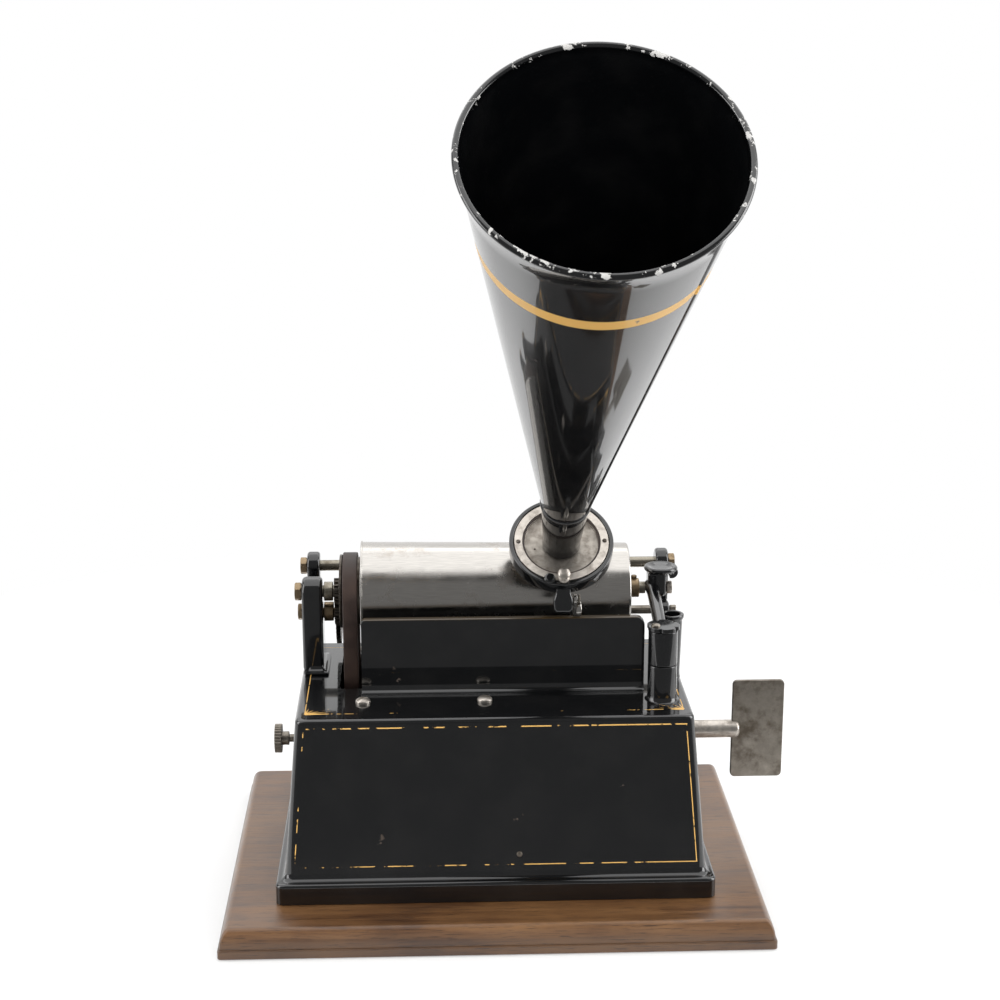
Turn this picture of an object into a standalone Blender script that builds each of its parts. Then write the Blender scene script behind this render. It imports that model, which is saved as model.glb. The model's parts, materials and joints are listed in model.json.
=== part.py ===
"""Spring-driven cylinder phonograph with a straight horn, on its moulded wooden board.

Frame: X to the right, Y to the back, Z up, in metres. The origin is the centre of the
wooden board's underside. Every shaft of the machine lies along X except the end gate's
upright hinge and the tilted axes of the reproducer and the horn.
"""
import math

import bmesh
import bpy
from mathutils import Matrix, Vector

# General clearances and construction values
GAP = 0.0003                 # between neighbouring pieces, and round a running shaft
OVERRUN = 0.001              # how far a cutter runs past the face that it opens
MERGE_DISTANCE = 0.0000001   # points nearer than this are one
ROUND_STEPS = 18             # faces round an ordinary turned piece
FINE_STEPS = 28              # faces round the mandrel, the horn and the carrier eye
SMALL_STEPS = 8              # faces round screws and pivots
FILLET_STEPS = 3

# Wooden board
BOARD_WIDTH = 0.245
BOARD_DEPTH = 0.181
BOARD_HEIGHT = 0.013
BOARD_TOP_INSET = 0.0052     # from the widest edge in to the flat top
BOARD_STRIP_HEIGHT = 0.0042  # square strip under the moulding
BOARD_GROOVE = 0.0008        # how far the strip stands proud of the moulding
BOARD_CORNER = 0.0015

# Case casting, hollow and open below
CASE_FOOT_HALF_WIDTH = 0.0985
CASE_FOOT_HALF_DEPTH = 0.066
CASE_FOOT_HEIGHT = 0.0095
CASE_FOOT_FLARE = 0.0032
CASE_DECK_HALF_WIDTH = 0.0887
CASE_DECK_HALF_DEPTH = 0.0521
CASE_HEIGHT = 0.0820
CASE_WALL = 0.004
CASE_CORNER = 0.004
CASE_EDGE_ROUND = 0.0018
DECK_THICKNESS = 0.004

# Mandrel, its shaft and what turns with it
MANDREL_INSET = 0.0371       # axis from the deck's back edge
MANDREL_CLEARANCE = 0.0154   # between the mandrel and the deck
MANDREL_END_ROOM = 0.0085    # from its right end to the shaft's
MANDREL_LEFT_RADIUS = 0.0230
MANDREL_RIGHT_RADIUS = 0.0213
MANDREL_WALL = 0.0024
MANDREL_END_ROUND = 0.0014
MANDREL_FLANGE = 0.0009      # thin lip at the pulley end
MANDREL_WEB = 0.004
SHAFT_RADIUS = 0.0028
SHAFT_END_INSET = 0.0033     # shaft's right end from the hinge post's axis
CENTRE_DEPTH = 0.0016        # coned recess in the shaft's right end
PULLEY_RADIUS = 0.0160
PULLEY_LENGTH = 0.0100
PULLEY_FLANGE = 0.0012
PULLEY_FLANGE_HEIGHT = 0.0012
BELT_WIDTH = 0.0069
BELT_THICKNESS = 0.0019
COLLAR_RADIUS = 0.0045
COLLAR_LENGTH = 0.0046
SET_SCREW_RADIUS = 0.0013
SET_SCREW_HEAD = 0.0016

# Gears between the mandrel and the feed screw
FEED_MODULE = 0.0007
MANDREL_GEAR_TEETH = 16
IDLER_TEETH = 16
FEED_GEAR_TEETH = 40
GEAR_FACE = 0.0022
GEAR_ROOM = 0.0075           # from the bracket to the gears' right-hand faces
BACKLASH_SHARE = 0.12        # of the tooth thickness
ADDENDUM_SHARE = 0.78        # of the module
DEDENDUM_SHARE = 1.12        # of the module
PRESSURE_ANGLE = 20.0

# Feed screw, back rod and the standards that carry them
FEED_BACK = 0.0210           # behind the mandrel's axis
FEED_DROP = 0.0180           # below the mandrel's axis
FEED_RADIUS = 0.0021
ROD_BACK = 0.0320            # behind the mandrel's axis
ROD_RISE = 0.0028            # above the mandrel's axis
ROD_RADIUS = 0.0026
STANDARD_THICKNESS = 0.0062
STANDARD_INSET = 0.0012      # from the deck's edge to the outer faces
STANDARD_EYE_RADIUS = 0.0068
STANDARD_BOSS_RADIUS = 0.0042
STANDARD_LEG_WIDTH = 0.0082
ROD_NUT_RADIUS = 0.0042
ROD_NUT_LENGTH = 0.0030
PIVOT_SCREW_LENGTH = 0.0030

# Left-hand bearing bracket
BRACKET_INSET = 0.0003       # from the deck's left edge
BRACKET_THICKNESS = 0.0098
BRACKET_HEAD_RADIUS = 0.0070
BRACKET_BACK_FOOT = 0.0170   # how far the foot runs behind the shaft
BRACKET_FOOT_HEIGHT = 0.0030
BRACKET_FOOT_STEP = 0.0014
BEARING_NUT_RADIUS = 0.0044
BEARING_NUT_LENGTH = 0.0030
STUD_NUT_RADIUS = 0.0040
STUD_NUT_LENGTH = 0.0019
STUD_RADIUS = 0.0018

# Apron in front of the mandrel
APRON_LEFT_INSET = 0.0005    # inside the mandrel's left end
APRON_HINGE_GAP = 0.0003     # between its end and the hinge post
APRON_FORWARD = 0.0330       # front face ahead of the mandrel's axis
APRON_THICKNESS = 0.0040
APRON_DROP = 0.0034          # top below the mandrel's axis
APRON_FILLET = 0.0038
APRON_CORNER = 0.0040

# Belt slot in the deck
SLOT_LEFT_ROOM = 0.0006      # right of the gears
SLOT_RIGHT_REACH = 0.0017    # under the mandrel's left end
SLOT_FORWARD = 0.0280        # ahead of the mandrel's axis
SLOT_BEHIND = 0.0195         # behind the mandrel's axis
SLOT_CORNER = 0.0030

# Posts on the right of the deck
HINGE_POST_INSET = 0.0123    # from the deck's right edge
HINGE_POST_FORWARD = 0.0455  # ahead of the mandrel's axis
HINGE_POST_RADIUS = 0.0066
HINGE_POST_DROP = 0.0214     # top below the mandrel's axis
HINGE_FOOT_FLARE = 0.0014
LATCH_POST_INSET = 0.0047    # from the deck's right edge
LATCH_POST_FORWARD = 0.0167  # ahead of the mandrel's axis
LATCH_POST_DROP = 0.0075     # top below the mandrel's axis
LATCH_TOP_RADIUS = 0.0056
LATCH_FOOT_RADIUS = 0.0042
LATCH_BORE_RADIUS = 0.0038
LATCH_BORE_DEPTH = 0.0120

# End gate
GATE_HUB_DROP = 0.0053       # top below the mandrel's axis
GATE_PIN_RADIUS = 0.0024
GATE_PIN_DEPTH = 0.0140      # how far the pin goes down into the post
GATE_CAP_RADIUS = 0.0074
GATE_CAP_THICKNESS = 0.0020
GATE_CAP_NOTCH = 0.0016
GATE_CAP_LOBES = 5
GATE_ARM_RADIUS = 0.0030
GATE_BLOCK_WIDTH = 0.0088
GATE_BLOCK_DEPTH = 0.0090
GATE_BLOCK_HEIGHT = 0.0120
THUMB_RADIUS = 0.0079
THUMB_THICKNESS = 0.0026
THUMB_DISH = 0.0009
THUMB_RISE = 0.0086          # disc's underside above the mandrel's axis
THUMB_HOOK_LENGTH = 0.0058
CENTRE_PIN_RADIUS = 0.0022
CENTRE_PIN_HEAD_RADIUS = 0.0030
CENTRE_PIN_HEAD = 0.0026
CAP_SCREW_RADIUS = 0.0021
CAP_SCREW_HEAD = 0.0014

# Carriage on the back rod
EYE_X = 0.0316               # where the carrier eye stands along the mandrel
SLEEVE_LENGTH = 0.0440
SLEEVE_RADIUS = 0.0044
SLEEVE_COLLAR_RADIUS = 0.0060
SLEEVE_COLLAR_LENGTH = 0.0030
FEED_ARM_WIDTH = 0.0060
FEED_ARM_THICKNESS = 0.0012
FEED_NUT_LENGTH = 0.0120
FEED_NUT_WALL = 0.0017

# Carrier arm and eye
EYE_TILT = 51.0              # slope of the eye's axis above level, in degrees
EYE_DISTANCE = 0.0394        # eye's top plane from the mandrel's axis
EYE_RADIUS = 0.0238
EYE_WALL = 0.0020
EYE_THICKNESS = 0.0070
EYE_LEDGE = 0.0016
ARM_WIDTH = 0.0130
ARM_THICKNESS = 0.0052
ARM_HUB_RADIUS = 0.0076
ARM_HUB_LENGTH = 0.0180
ARM_ROOT_DISTANCE = 0.0355   # arm's middle from the mandrel's axis, at the hub
ARM_HEAD_DISTANCE = 0.0410   # and at the eye
LUG_WIDTH = 0.0090
LUG_DEPTH = 0.0050
LUG_RISE = 0.0011            # underside above the mandrel's axis
LUG_FORWARD = 0.0390         # ahead of the mandrel's axis
LEVER_THICKNESS = 0.0016
LEVER_LOBE_RADIUS = 0.0036
LEVER_LOBE_LENGTH = 0.0040
LEVER_HUB_RADIUS = 0.0022
LEVER_PIN_RADIUS = 0.0010
LEVER_RISE = 0.0064          # pivot above the lobe's centre
LEVER_BACK = 0.0060          # lobe behind the pivot

# Reproducer, measured along the eye's axis from the eye's top plane
BODY_TOP = 0.0026            # recessed plate below the top plane
BODY_BOTTOM = 0.0056
BODY_SKIRT = 0.0009
BODY_PLATE = 0.0010          # thickness of the recessed plate
RING_INNER_RADIUS = 0.0178
RING_THICKNESS = 0.0012
RING_SCREW_RADIUS = 0.0011
THROAT_RADIUS = 0.0058
THROAT_BORE = 0.0042
THROAT_HEIGHT = 0.0050       # above the recessed plate
DIAPHRAGM_RADIUS = 0.0165
DIAPHRAGM_THICKNESS = 0.0004
WEIGHT_RADIUS = 0.0150
WEIGHT_THICKNESS = 0.0026
WEIGHT_TAIL_WIDTH = 0.0060
WEIGHT_PIN_RADIUS = 0.0006
WEIGHT_PIN_UP = 0.0176       # up the slope from the eye's centre
WEIGHT_PIN_DEPTH = 0.0076    # below the eye's top plane
WEIGHT_BOSS_RADIUS = 0.0016
WEIGHT_TOP = 0.0060          # below the eye's top plane
WEIGHT_EAR = 0.0015          # thickness of the ears beside the weight's tail
STYLUS_BAR_RADIUS = 0.0006
STYLUS_BAR_LENGTH = 0.0090
STYLUS_TIP_LENGTH = 0.0016
POST_RADIUS = 0.0027         # nickel stop post at the front of the ring
POST_HEIGHT = 0.0046

# Horn, measured along its axis from the point of the cone
HORN_TILT = 45.6
HORN_APEX_DROP = 0.0304      # cone's point below the throat's top
HORN_START = 0.0325
HORN_SHOULDER = 0.0640       # where the collar ends and the cone begins
HORN_MOUTH = 0.2945
HORN_HALF_ANGLE = 9.71
HORN_WALL = 0.0010
HORN_RIM_WIRE = 0.0013
COLLAR_FOOT_RADIUS = 0.0088
COLLAR_WALL = 0.0009
COLLAR_BEAD = 0.0006

# Winding key and its arbor
KEY_FORWARD = 0.0150         # ahead of the mandrel's axis
KEY_DROP = 0.0275            # below the deck
KEY_SHAFT_RADIUS = 0.0042
KEY_SHAFT_INSIDE = 0.03491   # inside the case's outer face
KEY_SHAFT_OUTSIDE = 0.02659  # beyond that face
KEY_SOCKET_DEPTH = 0.0140
KEY_PLATE_WIDTH = 0.0245
KEY_PLATE_HEIGHT = 0.0486
KEY_PLATE_THICKNESS = 0.0020
KEY_PLATE_CORNER = 0.0022
KEY_PLATE_SEAT = 0.0037      # plate's root inside the shaft's end
ARBOR_RADIUS = 0.0030
RATCHET_TEETH = 16
RATCHET_RADIUS = 0.0090
RATCHET_TOOTH = 0.0014
RATCHET_THICKNESS = 0.0022
PAWL_WIDTH = 0.0028
PAWL_STUD_RADIUS = 0.0014

# Speed screw and brake
SPEED_FORWARD = 0.0230       # ahead of the mandrel's axis
SPEED_DROP = 0.0258          # below the deck
SPEED_KNOB_RADIUS = 0.0067
SPEED_KNOB_THICKNESS = 0.0033
SPEED_KNOB_REACH = 0.01072   # beyond the case's outer face
SPEED_NECK_RADIUS = 0.0032
SPEED_SHANK_RADIUS = 0.0018
SPEED_TIP_PASS = 0.0031      # past the left plate's outer face
KNURLS = 20
KNURL_DEPTH = 0.0004
BRAKE_THICKNESS = 0.0020
BRAKE_WIDTH = 0.0040
BRAKE_PIVOT_DROP = 0.0040    # below the plates' top
BRAKE_TIP_GAP = 0.0007       # between the lever and the speed screw's tip
BRAKE_PIN_RADIUS = 0.0010
BRAKE_EAR = 0.0019           # thickness of the plate's ears beside the lever
BRAKE_FOOT_DROP = 0.0485     # foot's underside below the plates' top
BRAKE_FOOT_HEIGHT = 0.0035
BRAKE_FOOT_BACK = 0.0050

# Spring motor under the deck
PLATE_THICKNESS = 0.0020
PLATE_INSET = 0.0025         # left plate from the mandrel's left end
PLATE_DISTANCE = 0.0490      # between the left faces of the plates
PLATE_FRONT_INSET = 0.0161   # from the deck's front edge
PLATE_BACK_INSET = 0.0051    # from the deck's back edge
PLATE_HEIGHT = 0.0610
PLATE_DROP = 0.0033          # below the underside of the deck
PLATE_CORNER = 0.0040
TAB_LENGTH = 0.0055
TAB_WIDTH = 0.0110
TAB_THICKNESS = 0.0023
SCREW_RADIUS = 0.0018
SCREW_HEAD_RADIUS = 0.0034
SCREW_HEAD_HEIGHT = 0.0021
SCREW_SLOT_WIDTH = 0.0008
SCREW_SLOT_DEPTH = 0.0009
FRONT_SCREW_INSET = 0.0055   # from the plates' front edges
BACK_SCREW_INSET = 0.0060    # from the plates' back edges
LEFT_SCREW_OFFSET = 0.0012   # left of the left plate's left face
RIGHT_SCREW_OFFSET = 0.0049  # right of the right plate's left face
PILLAR_RADIUS = 0.0025
PILLAR_SPIGOT = 0.0014
PILLAR_HEAD_RADIUS = 0.0026
PILLAR_HEAD = 0.0012
PILLAR_INSET = 0.0050
PIVOT_RADIUS = 0.0011
PIVOT_END = 0.0006           # how far a pivot passes its plate

BARREL_INSET = 0.0140        # from the left plate's left face
BARREL_LENGTH = 0.0280
BARREL_RADIUS = 0.0185
BARREL_WALL = 0.0015
BARREL_COVER = 0.0012
SPRING_STRIP = 0.0006
SPRING_PITCH = 0.0028
SPRING_TURNS = 3
GREAT_MODULE = 0.0010
GREAT_WHEEL_GAP = 0.0023     # between the wheel and the barrel
SECOND_WHEEL_INSET = 0.0050  # from the left plate's left face
THIRD_WHEEL_INSET = 0.0050   # from the right plate's left face
GREAT_TEETH = 40
SECOND_PINION_TEETH = 12
SECOND_MODULE = 0.0008
SECOND_TEETH = 36
DRIVE_PINION_TEETH = 12
GOVERNOR_MODULE = 0.0006
THIRD_TEETH = 36
GOVERNOR_PINION_TEETH = 12
WHEEL_FACE = 0.0020
PINION_EXTRA = 0.0010        # a pinion is this much longer than its wheel
TRAIN_ARBOR_RADIUS = 0.0015
DRIVE_DROP = 0.0456          # drive arbor below the deck
DRIVE_PULLEY_RADIUS = 0.0110
GOVERNOR_TURN = -120.0       # direction from the drive arbor to the governor, degrees
GOVERNOR_DISC_RADIUS = 0.0080
GOVERNOR_DISC_THICKNESS = 0.0014
GOVERNOR_DISC_INSET = 0.0120 # from the left plate's left face
GOVERNOR_COLLAR_INSET = 0.0360# from the left plate's left face
GOVERNOR_COLLAR_RADIUS = 0.0036
GOVERNOR_COLLAR_LENGTH = 0.0030
GOVERNOR_BALL_RADIUS = 0.0024
GOVERNOR_BOW = 0.0052
GOVERNOR_SPRING = 0.0005
GOVERNOR_SPRING_WIDTH = 0.0022

# Small trim
RIM_SHARE = 0.25             # of a round head's height that stands upright at its rim
RIVET_X = 0.0104
RIVET_HEIGHT = 0.0334
RIVET_RADIUS = 0.0013
RIVET_HEAD = 0.0006
WOOD_SCREW_RADIUS = 0.0020
WOOD_SCREW_HEAD_RADIUS = 0.0042
WOOD_SCREW_HEAD = 0.0024
WOOD_SCREW_INSET = 0.0060    # in from the foot's outer corner, along each side

# Places that follow from the values above
CASE_FLOOR = BOARD_HEIGHT + GAP
DECK_TOP = CASE_FLOOR + CASE_HEIGHT
DECK_BOTTOM = DECK_TOP - DECK_THICKNESS
MANDREL_Y = CASE_DECK_HALF_DEPTH - MANDREL_INSET
MANDREL_HEIGHT = DECK_TOP + MANDREL_CLEARANCE + MANDREL_LEFT_RADIUS
HINGE_POST_X = CASE_DECK_HALF_WIDTH - HINGE_POST_INSET
HINGE_POST_Y = MANDREL_Y - HINGE_POST_FORWARD
HINGE_POST_TOP = MANDREL_HEIGHT - HINGE_POST_DROP
LATCH_POST_X = CASE_DECK_HALF_WIDTH - LATCH_POST_INSET
LATCH_POST_Y = MANDREL_Y - LATCH_POST_FORWARD
LATCH_POST_TOP = MANDREL_HEIGHT - LATCH_POST_DROP
GATE_HUB_TOP = MANDREL_HEIGHT - GATE_HUB_DROP
BRACKET_OUTER_X = BRACKET_INSET - CASE_DECK_HALF_WIDTH
GEAR_RIGHT = BRACKET_OUTER_X + BRACKET_THICKNESS + GEAR_ROOM
SHAFT_LEFT = BRACKET_OUTER_X
SHAFT_RIGHT = HINGE_POST_X - SHAFT_END_INSET
MANDREL_LEFT = GEAR_RIGHT + PULLEY_LENGTH + 2 * GAP
MANDREL_RIGHT = SHAFT_RIGHT - MANDREL_END_ROOM
MANDREL_LENGTH = MANDREL_RIGHT - MANDREL_LEFT
FEED_Y = MANDREL_Y + FEED_BACK
FEED_HEIGHT = MANDREL_HEIGHT - FEED_DROP
ROD_Y = MANDREL_Y + ROD_BACK
ROD_HEIGHT = MANDREL_HEIGHT + ROD_RISE
STANDARD_INNER_X = CASE_DECK_HALF_WIDTH - STANDARD_INSET - STANDARD_THICKNESS
APRON_LEFT = MANDREL_LEFT + APRON_LEFT_INSET
APRON_RIGHT = HINGE_POST_X - HINGE_POST_RADIUS - APRON_HINGE_GAP
APRON_FRONT = MANDREL_Y - APRON_FORWARD
APRON_TOP = MANDREL_HEIGHT - APRON_DROP
SLOT_LEFT = GEAR_RIGHT + SLOT_LEFT_ROOM
SLOT_RIGHT = MANDREL_LEFT + SLOT_RIGHT_REACH
SLOT_FRONT = MANDREL_Y - SLOT_FORWARD
SLOT_BACK = MANDREL_Y + SLOT_BEHIND
LUG_BOTTOM = MANDREL_HEIGHT + LUG_RISE
LUG_Y = MANDREL_Y - LUG_FORWARD
LEFT_PLATE_X = MANDREL_LEFT + PLATE_INSET
RIGHT_PLATE_X = LEFT_PLATE_X + PLATE_DISTANCE
PLATE_TOP = DECK_BOTTOM - PLATE_DROP
PLATE_BOTTOM = PLATE_TOP - PLATE_HEIGHT
PLATE_FRONT = PLATE_FRONT_INSET - CASE_DECK_HALF_DEPTH
PLATE_BACK = CASE_DECK_HALF_DEPTH - PLATE_BACK_INSET
FRONT_SCREW_Y = PLATE_FRONT + FRONT_SCREW_INSET
BACK_SCREW_Y = PLATE_BACK - BACK_SCREW_INSET
LEFT_SCREW_X = LEFT_PLATE_X - LEFT_SCREW_OFFSET
RIGHT_SCREW_X = RIGHT_PLATE_X + RIGHT_SCREW_OFFSET
KEY_Y = MANDREL_Y - KEY_FORWARD
KEY_HEIGHT = DECK_TOP - KEY_DROP
SPEED_Y = MANDREL_Y - SPEED_FORWARD
SPEED_HEIGHT = DECK_TOP - SPEED_DROP
SPEED_TIP = LEFT_PLATE_X + SPEED_TIP_PASS
BRAKE_PIVOT_HEIGHT = PLATE_TOP - BRAKE_PIVOT_DROP
BRAKE_FOOT_LOW = PLATE_TOP - BRAKE_FOOT_DROP
BRAKE_FOOT_HIGH = BRAKE_FOOT_LOW + BRAKE_FOOT_HEIGHT
BARREL_LEFT = LEFT_PLATE_X + BARREL_INSET
BARREL_RIGHT = BARREL_LEFT + BARREL_LENGTH
GREAT_WHEEL_RIGHT = BARREL_LEFT - GREAT_WHEEL_GAP
SECOND_WHEEL_X = LEFT_PLATE_X + SECOND_WHEEL_INSET
THIRD_WHEEL_X = RIGHT_PLATE_X - THIRD_WHEEL_INSET
DRIVE_Y = MANDREL_Y
DRIVE_HEIGHT = DECK_TOP - DRIVE_DROP
GOVERNOR_DISC_X = LEFT_PLATE_X + GOVERNOR_DISC_INSET
GOVERNOR_COLLAR_X = LEFT_PLATE_X + GOVERNOR_COLLAR_INSET
BELT_RIGHT = MANDREL_LEFT - MANDREL_FLANGE - 2 * GAP
BELT_LEFT = BELT_RIGHT - BELT_WIDTH
EYE_AXIS = Vector((0, -math.cos(math.radians(EYE_TILT)), math.sin(math.radians(EYE_TILT))))
EYE_UP = Vector((0, math.sin(math.radians(EYE_TILT)), math.cos(math.radians(EYE_TILT))))
HORN_AXIS = Vector((0, -math.cos(math.radians(HORN_TILT)), math.sin(math.radians(HORN_TILT))))
MANDREL_CENTRE = Vector((0, MANDREL_Y, MANDREL_HEIGHT))
EYE_CENTRE = MANDREL_CENTRE + EYE_AXIS * EYE_DISTANCE + Vector((EYE_X, 0, 0))
THROAT_TOP = EYE_CENTRE + EYE_AXIS * (THROAT_HEIGHT - BODY_TOP)
HORN_APEX = THROAT_TOP - HORN_AXIS * HORN_APEX_DROP
BODY_RADIUS = EYE_RADIUS - EYE_WALL - GAP


def clear_scene():
    for old in list(bpy.data.objects):
        bpy.data.objects.remove(old, do_unlink=True)
    for old in list(bpy.data.meshes):
        bpy.data.meshes.remove(old)


def make_material(name, colour, roughness, metallic):
    material = bpy.data.materials.new(name)
    material.use_nodes = True
    shader = material.node_tree.nodes["Principled BSDF"]
    shader.inputs["Base Color"].default_value = (*colour, 1.0)
    shader.inputs["Roughness"].default_value = roughness
    shader.inputs["Metallic"].default_value = metallic
    material.diffuse_color = (*colour, 1.0)
    return material


def make_materials():
    return {
        "oak": make_material("oak", (0.22, 0.115, 0.06), 0.55, 0.0),
        "enamel": make_material("black_enamel", (0.012, 0.012, 0.014), 0.25, 0.0),
        "nickel": make_material("polished_nickel", (0.72, 0.69, 0.65), 0.16, 1.0),
        "aged": make_material("aged_nickel", (0.42, 0.38, 0.32), 0.38, 1.0),
        "brass": make_material("brass", (0.70, 0.52, 0.28), 0.32, 1.0),
        "bronze": make_material("bronze", (0.32, 0.27, 0.24), 0.42, 1.0),
        "steel": make_material("motor_steel", (0.45, 0.45, 0.46), 0.38, 1.0),
        "belt": make_material("belt_leather", (0.06, 0.045, 0.042), 0.7, 0.0),
        "mica": make_material("mica", (0.75, 0.72, 0.62), 0.3, 0.0),
    }


def new_object(name, bm, material):
    """Turn a bmesh into a named object with its faces pointing out."""
    bmesh.ops.recalc_face_normals(bm, faces=bm.faces)
    mesh = bpy.data.meshes.new(name)
    bm.to_mesh(mesh)
    bm.free()
    mesh.shade_smooth()
    mesh.set_sharp_from_angle(angle=math.radians(35))
    mesh.materials.append(material)
    thing = bpy.data.objects.new(name, mesh)
    bpy.context.scene.collection.objects.link(thing)
    return thing


def place(thing, location, rotation=(0, 0, 0)):
    thing.location = location
    thing.rotation_euler = rotation
    return thing


def along_x(thing, x, y, z):
    """Lay a piece whose own axis is Z along the world's X."""
    return place(thing, (x, y, z), (0, math.radians(90), 0))


def tilted(thing, along, across=0, up=0):
    """Place a piece in the eye's frame: X across, Y up the slope, Z along the eye's axis."""
    centre = EYE_CENTRE + EYE_AXIS * along + EYE_UP * up + Vector((across, 0, 0))
    return place(thing, centre, (math.radians(90 - EYE_TILT), 0, 0))


def turned_mesh(profile, steps):
    """Spin a profile of (radius, height) points round Z."""
    bm = bmesh.new()
    rings = []
    closed = profile[0][0] > 0
    for radius, height in profile:
        rings.append(bm.verts.new((radius, 0, height)))
    edges = [bm.edges.new((a, b)) for a, b in zip(rings, rings[1:])]
    if closed:
        edges.append(bm.edges.new((rings[-1], rings[0])))
    bmesh.ops.spin(bm, geom=rings + edges, cent=(0, 0, 0), axis=(0, 0, 1),
                   angle=math.tau, steps=steps, use_merge=True, use_duplicate=False)
    bmesh.ops.remove_doubles(bm, verts=bm.verts, dist=MERGE_DISTANCE)
    return bm


def turned(name, profile, material, steps=ROUND_STEPS):
    return new_object(name, turned_mesh(profile, steps), material)


def rod_profile(radius, length, edge=0):
    """Profile of a plain rod with its ends chamfered by edge."""
    if edge:
        return [(0, 0), (radius - edge, 0), (radius, edge), (radius, length - edge),
                (radius - edge, length), (0, length)]
    return [(0, 0), (radius, 0), (radius, length), (0, length)]


def tube_profile(inner, outer, length):
    return [(inner, 0), (outer, 0), (outer, length), (inner, length)]


def extruded_mesh(outline, thickness):
    """Extrude a flat outline of (x, y) points upwards from Z = 0."""
    bm = bmesh.new()
    face = bm.faces.new([bm.verts.new((x, y, 0)) for x, y in outline])
    grown = bmesh.ops.extrude_face_region(bm, geom=[face])
    raised = [item for item in grown["geom"] if isinstance(item, bmesh.types.BMVert)]
    bmesh.ops.translate(bm, verts=raised, vec=(0, 0, thickness))
    return bm


def extruded(name, outline, thickness, material):
    return new_object(name, extruded_mesh(outline, thickness), material)


def side_plate(name, outline, x, thickness, material):
    """A plate whose outline is given in the world's (y, z), from x to x + thickness."""
    bm = extruded_mesh(outline, thickness)
    bmesh.ops.rotate(bm, verts=bm.verts, cent=(0, 0, 0),
                     matrix=Matrix(((0, 0, 1), (1, 0, 0), (0, 1, 0))))
    bmesh.ops.translate(bm, verts=bm.verts, vec=(x, 0, 0))
    return new_object(name, bm, material)


def loft(name, loops, material, endless=False):
    """Bridge equal loops of points in order, then close both ends or join last to first."""
    bm = bmesh.new()
    rows = [[bm.verts.new(point) for point in loop] for loop in loops]
    count = len(rows[0])
    followers = rows[1:] + rows[:1] if endless else rows[1:]
    for low, high in zip(rows, followers):
        for i in range(count):
            j = (i + 1) % count
            bm.faces.new((low[i], low[j], high[j], high[i]))
    if not endless:
        bm.faces.new(rows[0])
        bm.faces.new(rows[-1])
    return new_object(name, bm, material)


def rounded_rectangle(half_x, half_y, corner, steps=FILLET_STEPS):
    """Points of a rectangle about the origin with rounded corners."""
    points = []
    for sign_x, sign_y, start in ((1, 1, 0), (-1, 1, 90), (-1, -1, 180), (1, -1, 270)):
        for i in range(steps + 1):
            angle = math.radians(start + 90 * i / steps)
            points.append((sign_x * (half_x - corner) + corner * math.cos(angle),
                           sign_y * (half_y - corner) + corner * math.sin(angle)))
    return points


def level_loop(half_x, half_y, corner, z):
    return [(x, y, z) for x, y in rounded_rectangle(half_x, half_y, corner)]


def arc(cx, cy, radius, start, end, steps):
    """Points on an arc, angles in degrees."""
    return [(cx + radius * math.cos(math.radians(start + (end - start) * i / steps)),
             cy + radius * math.sin(math.radians(start + (end - start) * i / steps)))
            for i in range(steps + 1)]


def box(name, low, high, material=None):
    bm = bmesh.new()
    bmesh.ops.create_cube(bm, size=1)
    centre = [(a + b) / 2 for a, b in zip(low, high)]
    size = [b - a for a, b in zip(low, high)]
    bmesh.ops.scale(bm, verts=bm.verts, vec=size)
    bmesh.ops.translate(bm, verts=bm.verts, vec=centre)
    if material is None:
        material = bpy.data.materials["motor_steel"]
    return new_object(name, bm, material)


def hide(tool):
    tool.hide_render = True
    tool.display_type = "WIRE"


def combine(thing, tool, operation):
    modifier = thing.modifiers.new(operation.lower(), "BOOLEAN")
    modifier.operation = operation
    modifier.solver = "EXACT"
    modifier.object = tool
    hide(tool)


def cut(thing, *tools):
    for tool in tools:
        combine(thing, tool, "DIFFERENCE")


def join(thing, *tools):
    for tool in tools:
        combine(thing, tool, "UNION")


def drill_x(name, y, z, radius, x_low, x_high, steps=SMALL_STEPS):
    """Cutter for a hole along X."""
    tool = turned(name, rod_profile(radius, x_high - x_low), bpy.data.materials["motor_steel"], steps)
    return along_x(tool, x_low, y, z)


def drill_z(name, x, y, radius, z_low, z_high, steps=SMALL_STEPS):
    tool = turned(name, rod_profile(radius, z_high - z_low), bpy.data.materials["motor_steel"], steps)
    return place(tool, (x, y, z_low))


def gear_outline(teeth, module, turn, flank_points):
    """Involute teeth with backlash. A tooth's middle lies at the angle turn, in radians."""
    pitch = teeth * module / 2
    base = pitch * math.cos(math.radians(PRESSURE_ANGLE))
    outer = pitch + ADDENDUM_SHARE * module
    root = pitch - DEDENDUM_SHARE * module

    def involute(radius):
        ratio = max(radius / base, 1.0)
        tangent = math.sqrt(ratio * ratio - 1)
        return tangent - math.atan(tangent)

    half_pitch = math.pi / (2 * teeth) * (1 - BACKLASH_SHARE)
    lowest = max(base, root)
    points = []
    for tooth in range(teeth):
        middle = turn + math.tau * tooth / teeth
        flank = []
        for i in range(flank_points):
            radius = lowest + (outer - lowest) * i / (flank_points - 1)
            half = half_pitch + involute(pitch) - involute(radius)
            flank.append((radius, half))
        if flank_points > 2 and root < lowest:
            flank.insert(0, (root, flank[0][1]))
        elif root < lowest:
            flank[0] = (root, flank[0][1])
        for radius, half in flank:
            points.append((radius * math.cos(middle - half), radius * math.sin(middle - half)))
        for radius, half in reversed(flank):
            points.append((radius * math.cos(middle + half), radius * math.sin(middle + half)))
    return points


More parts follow.
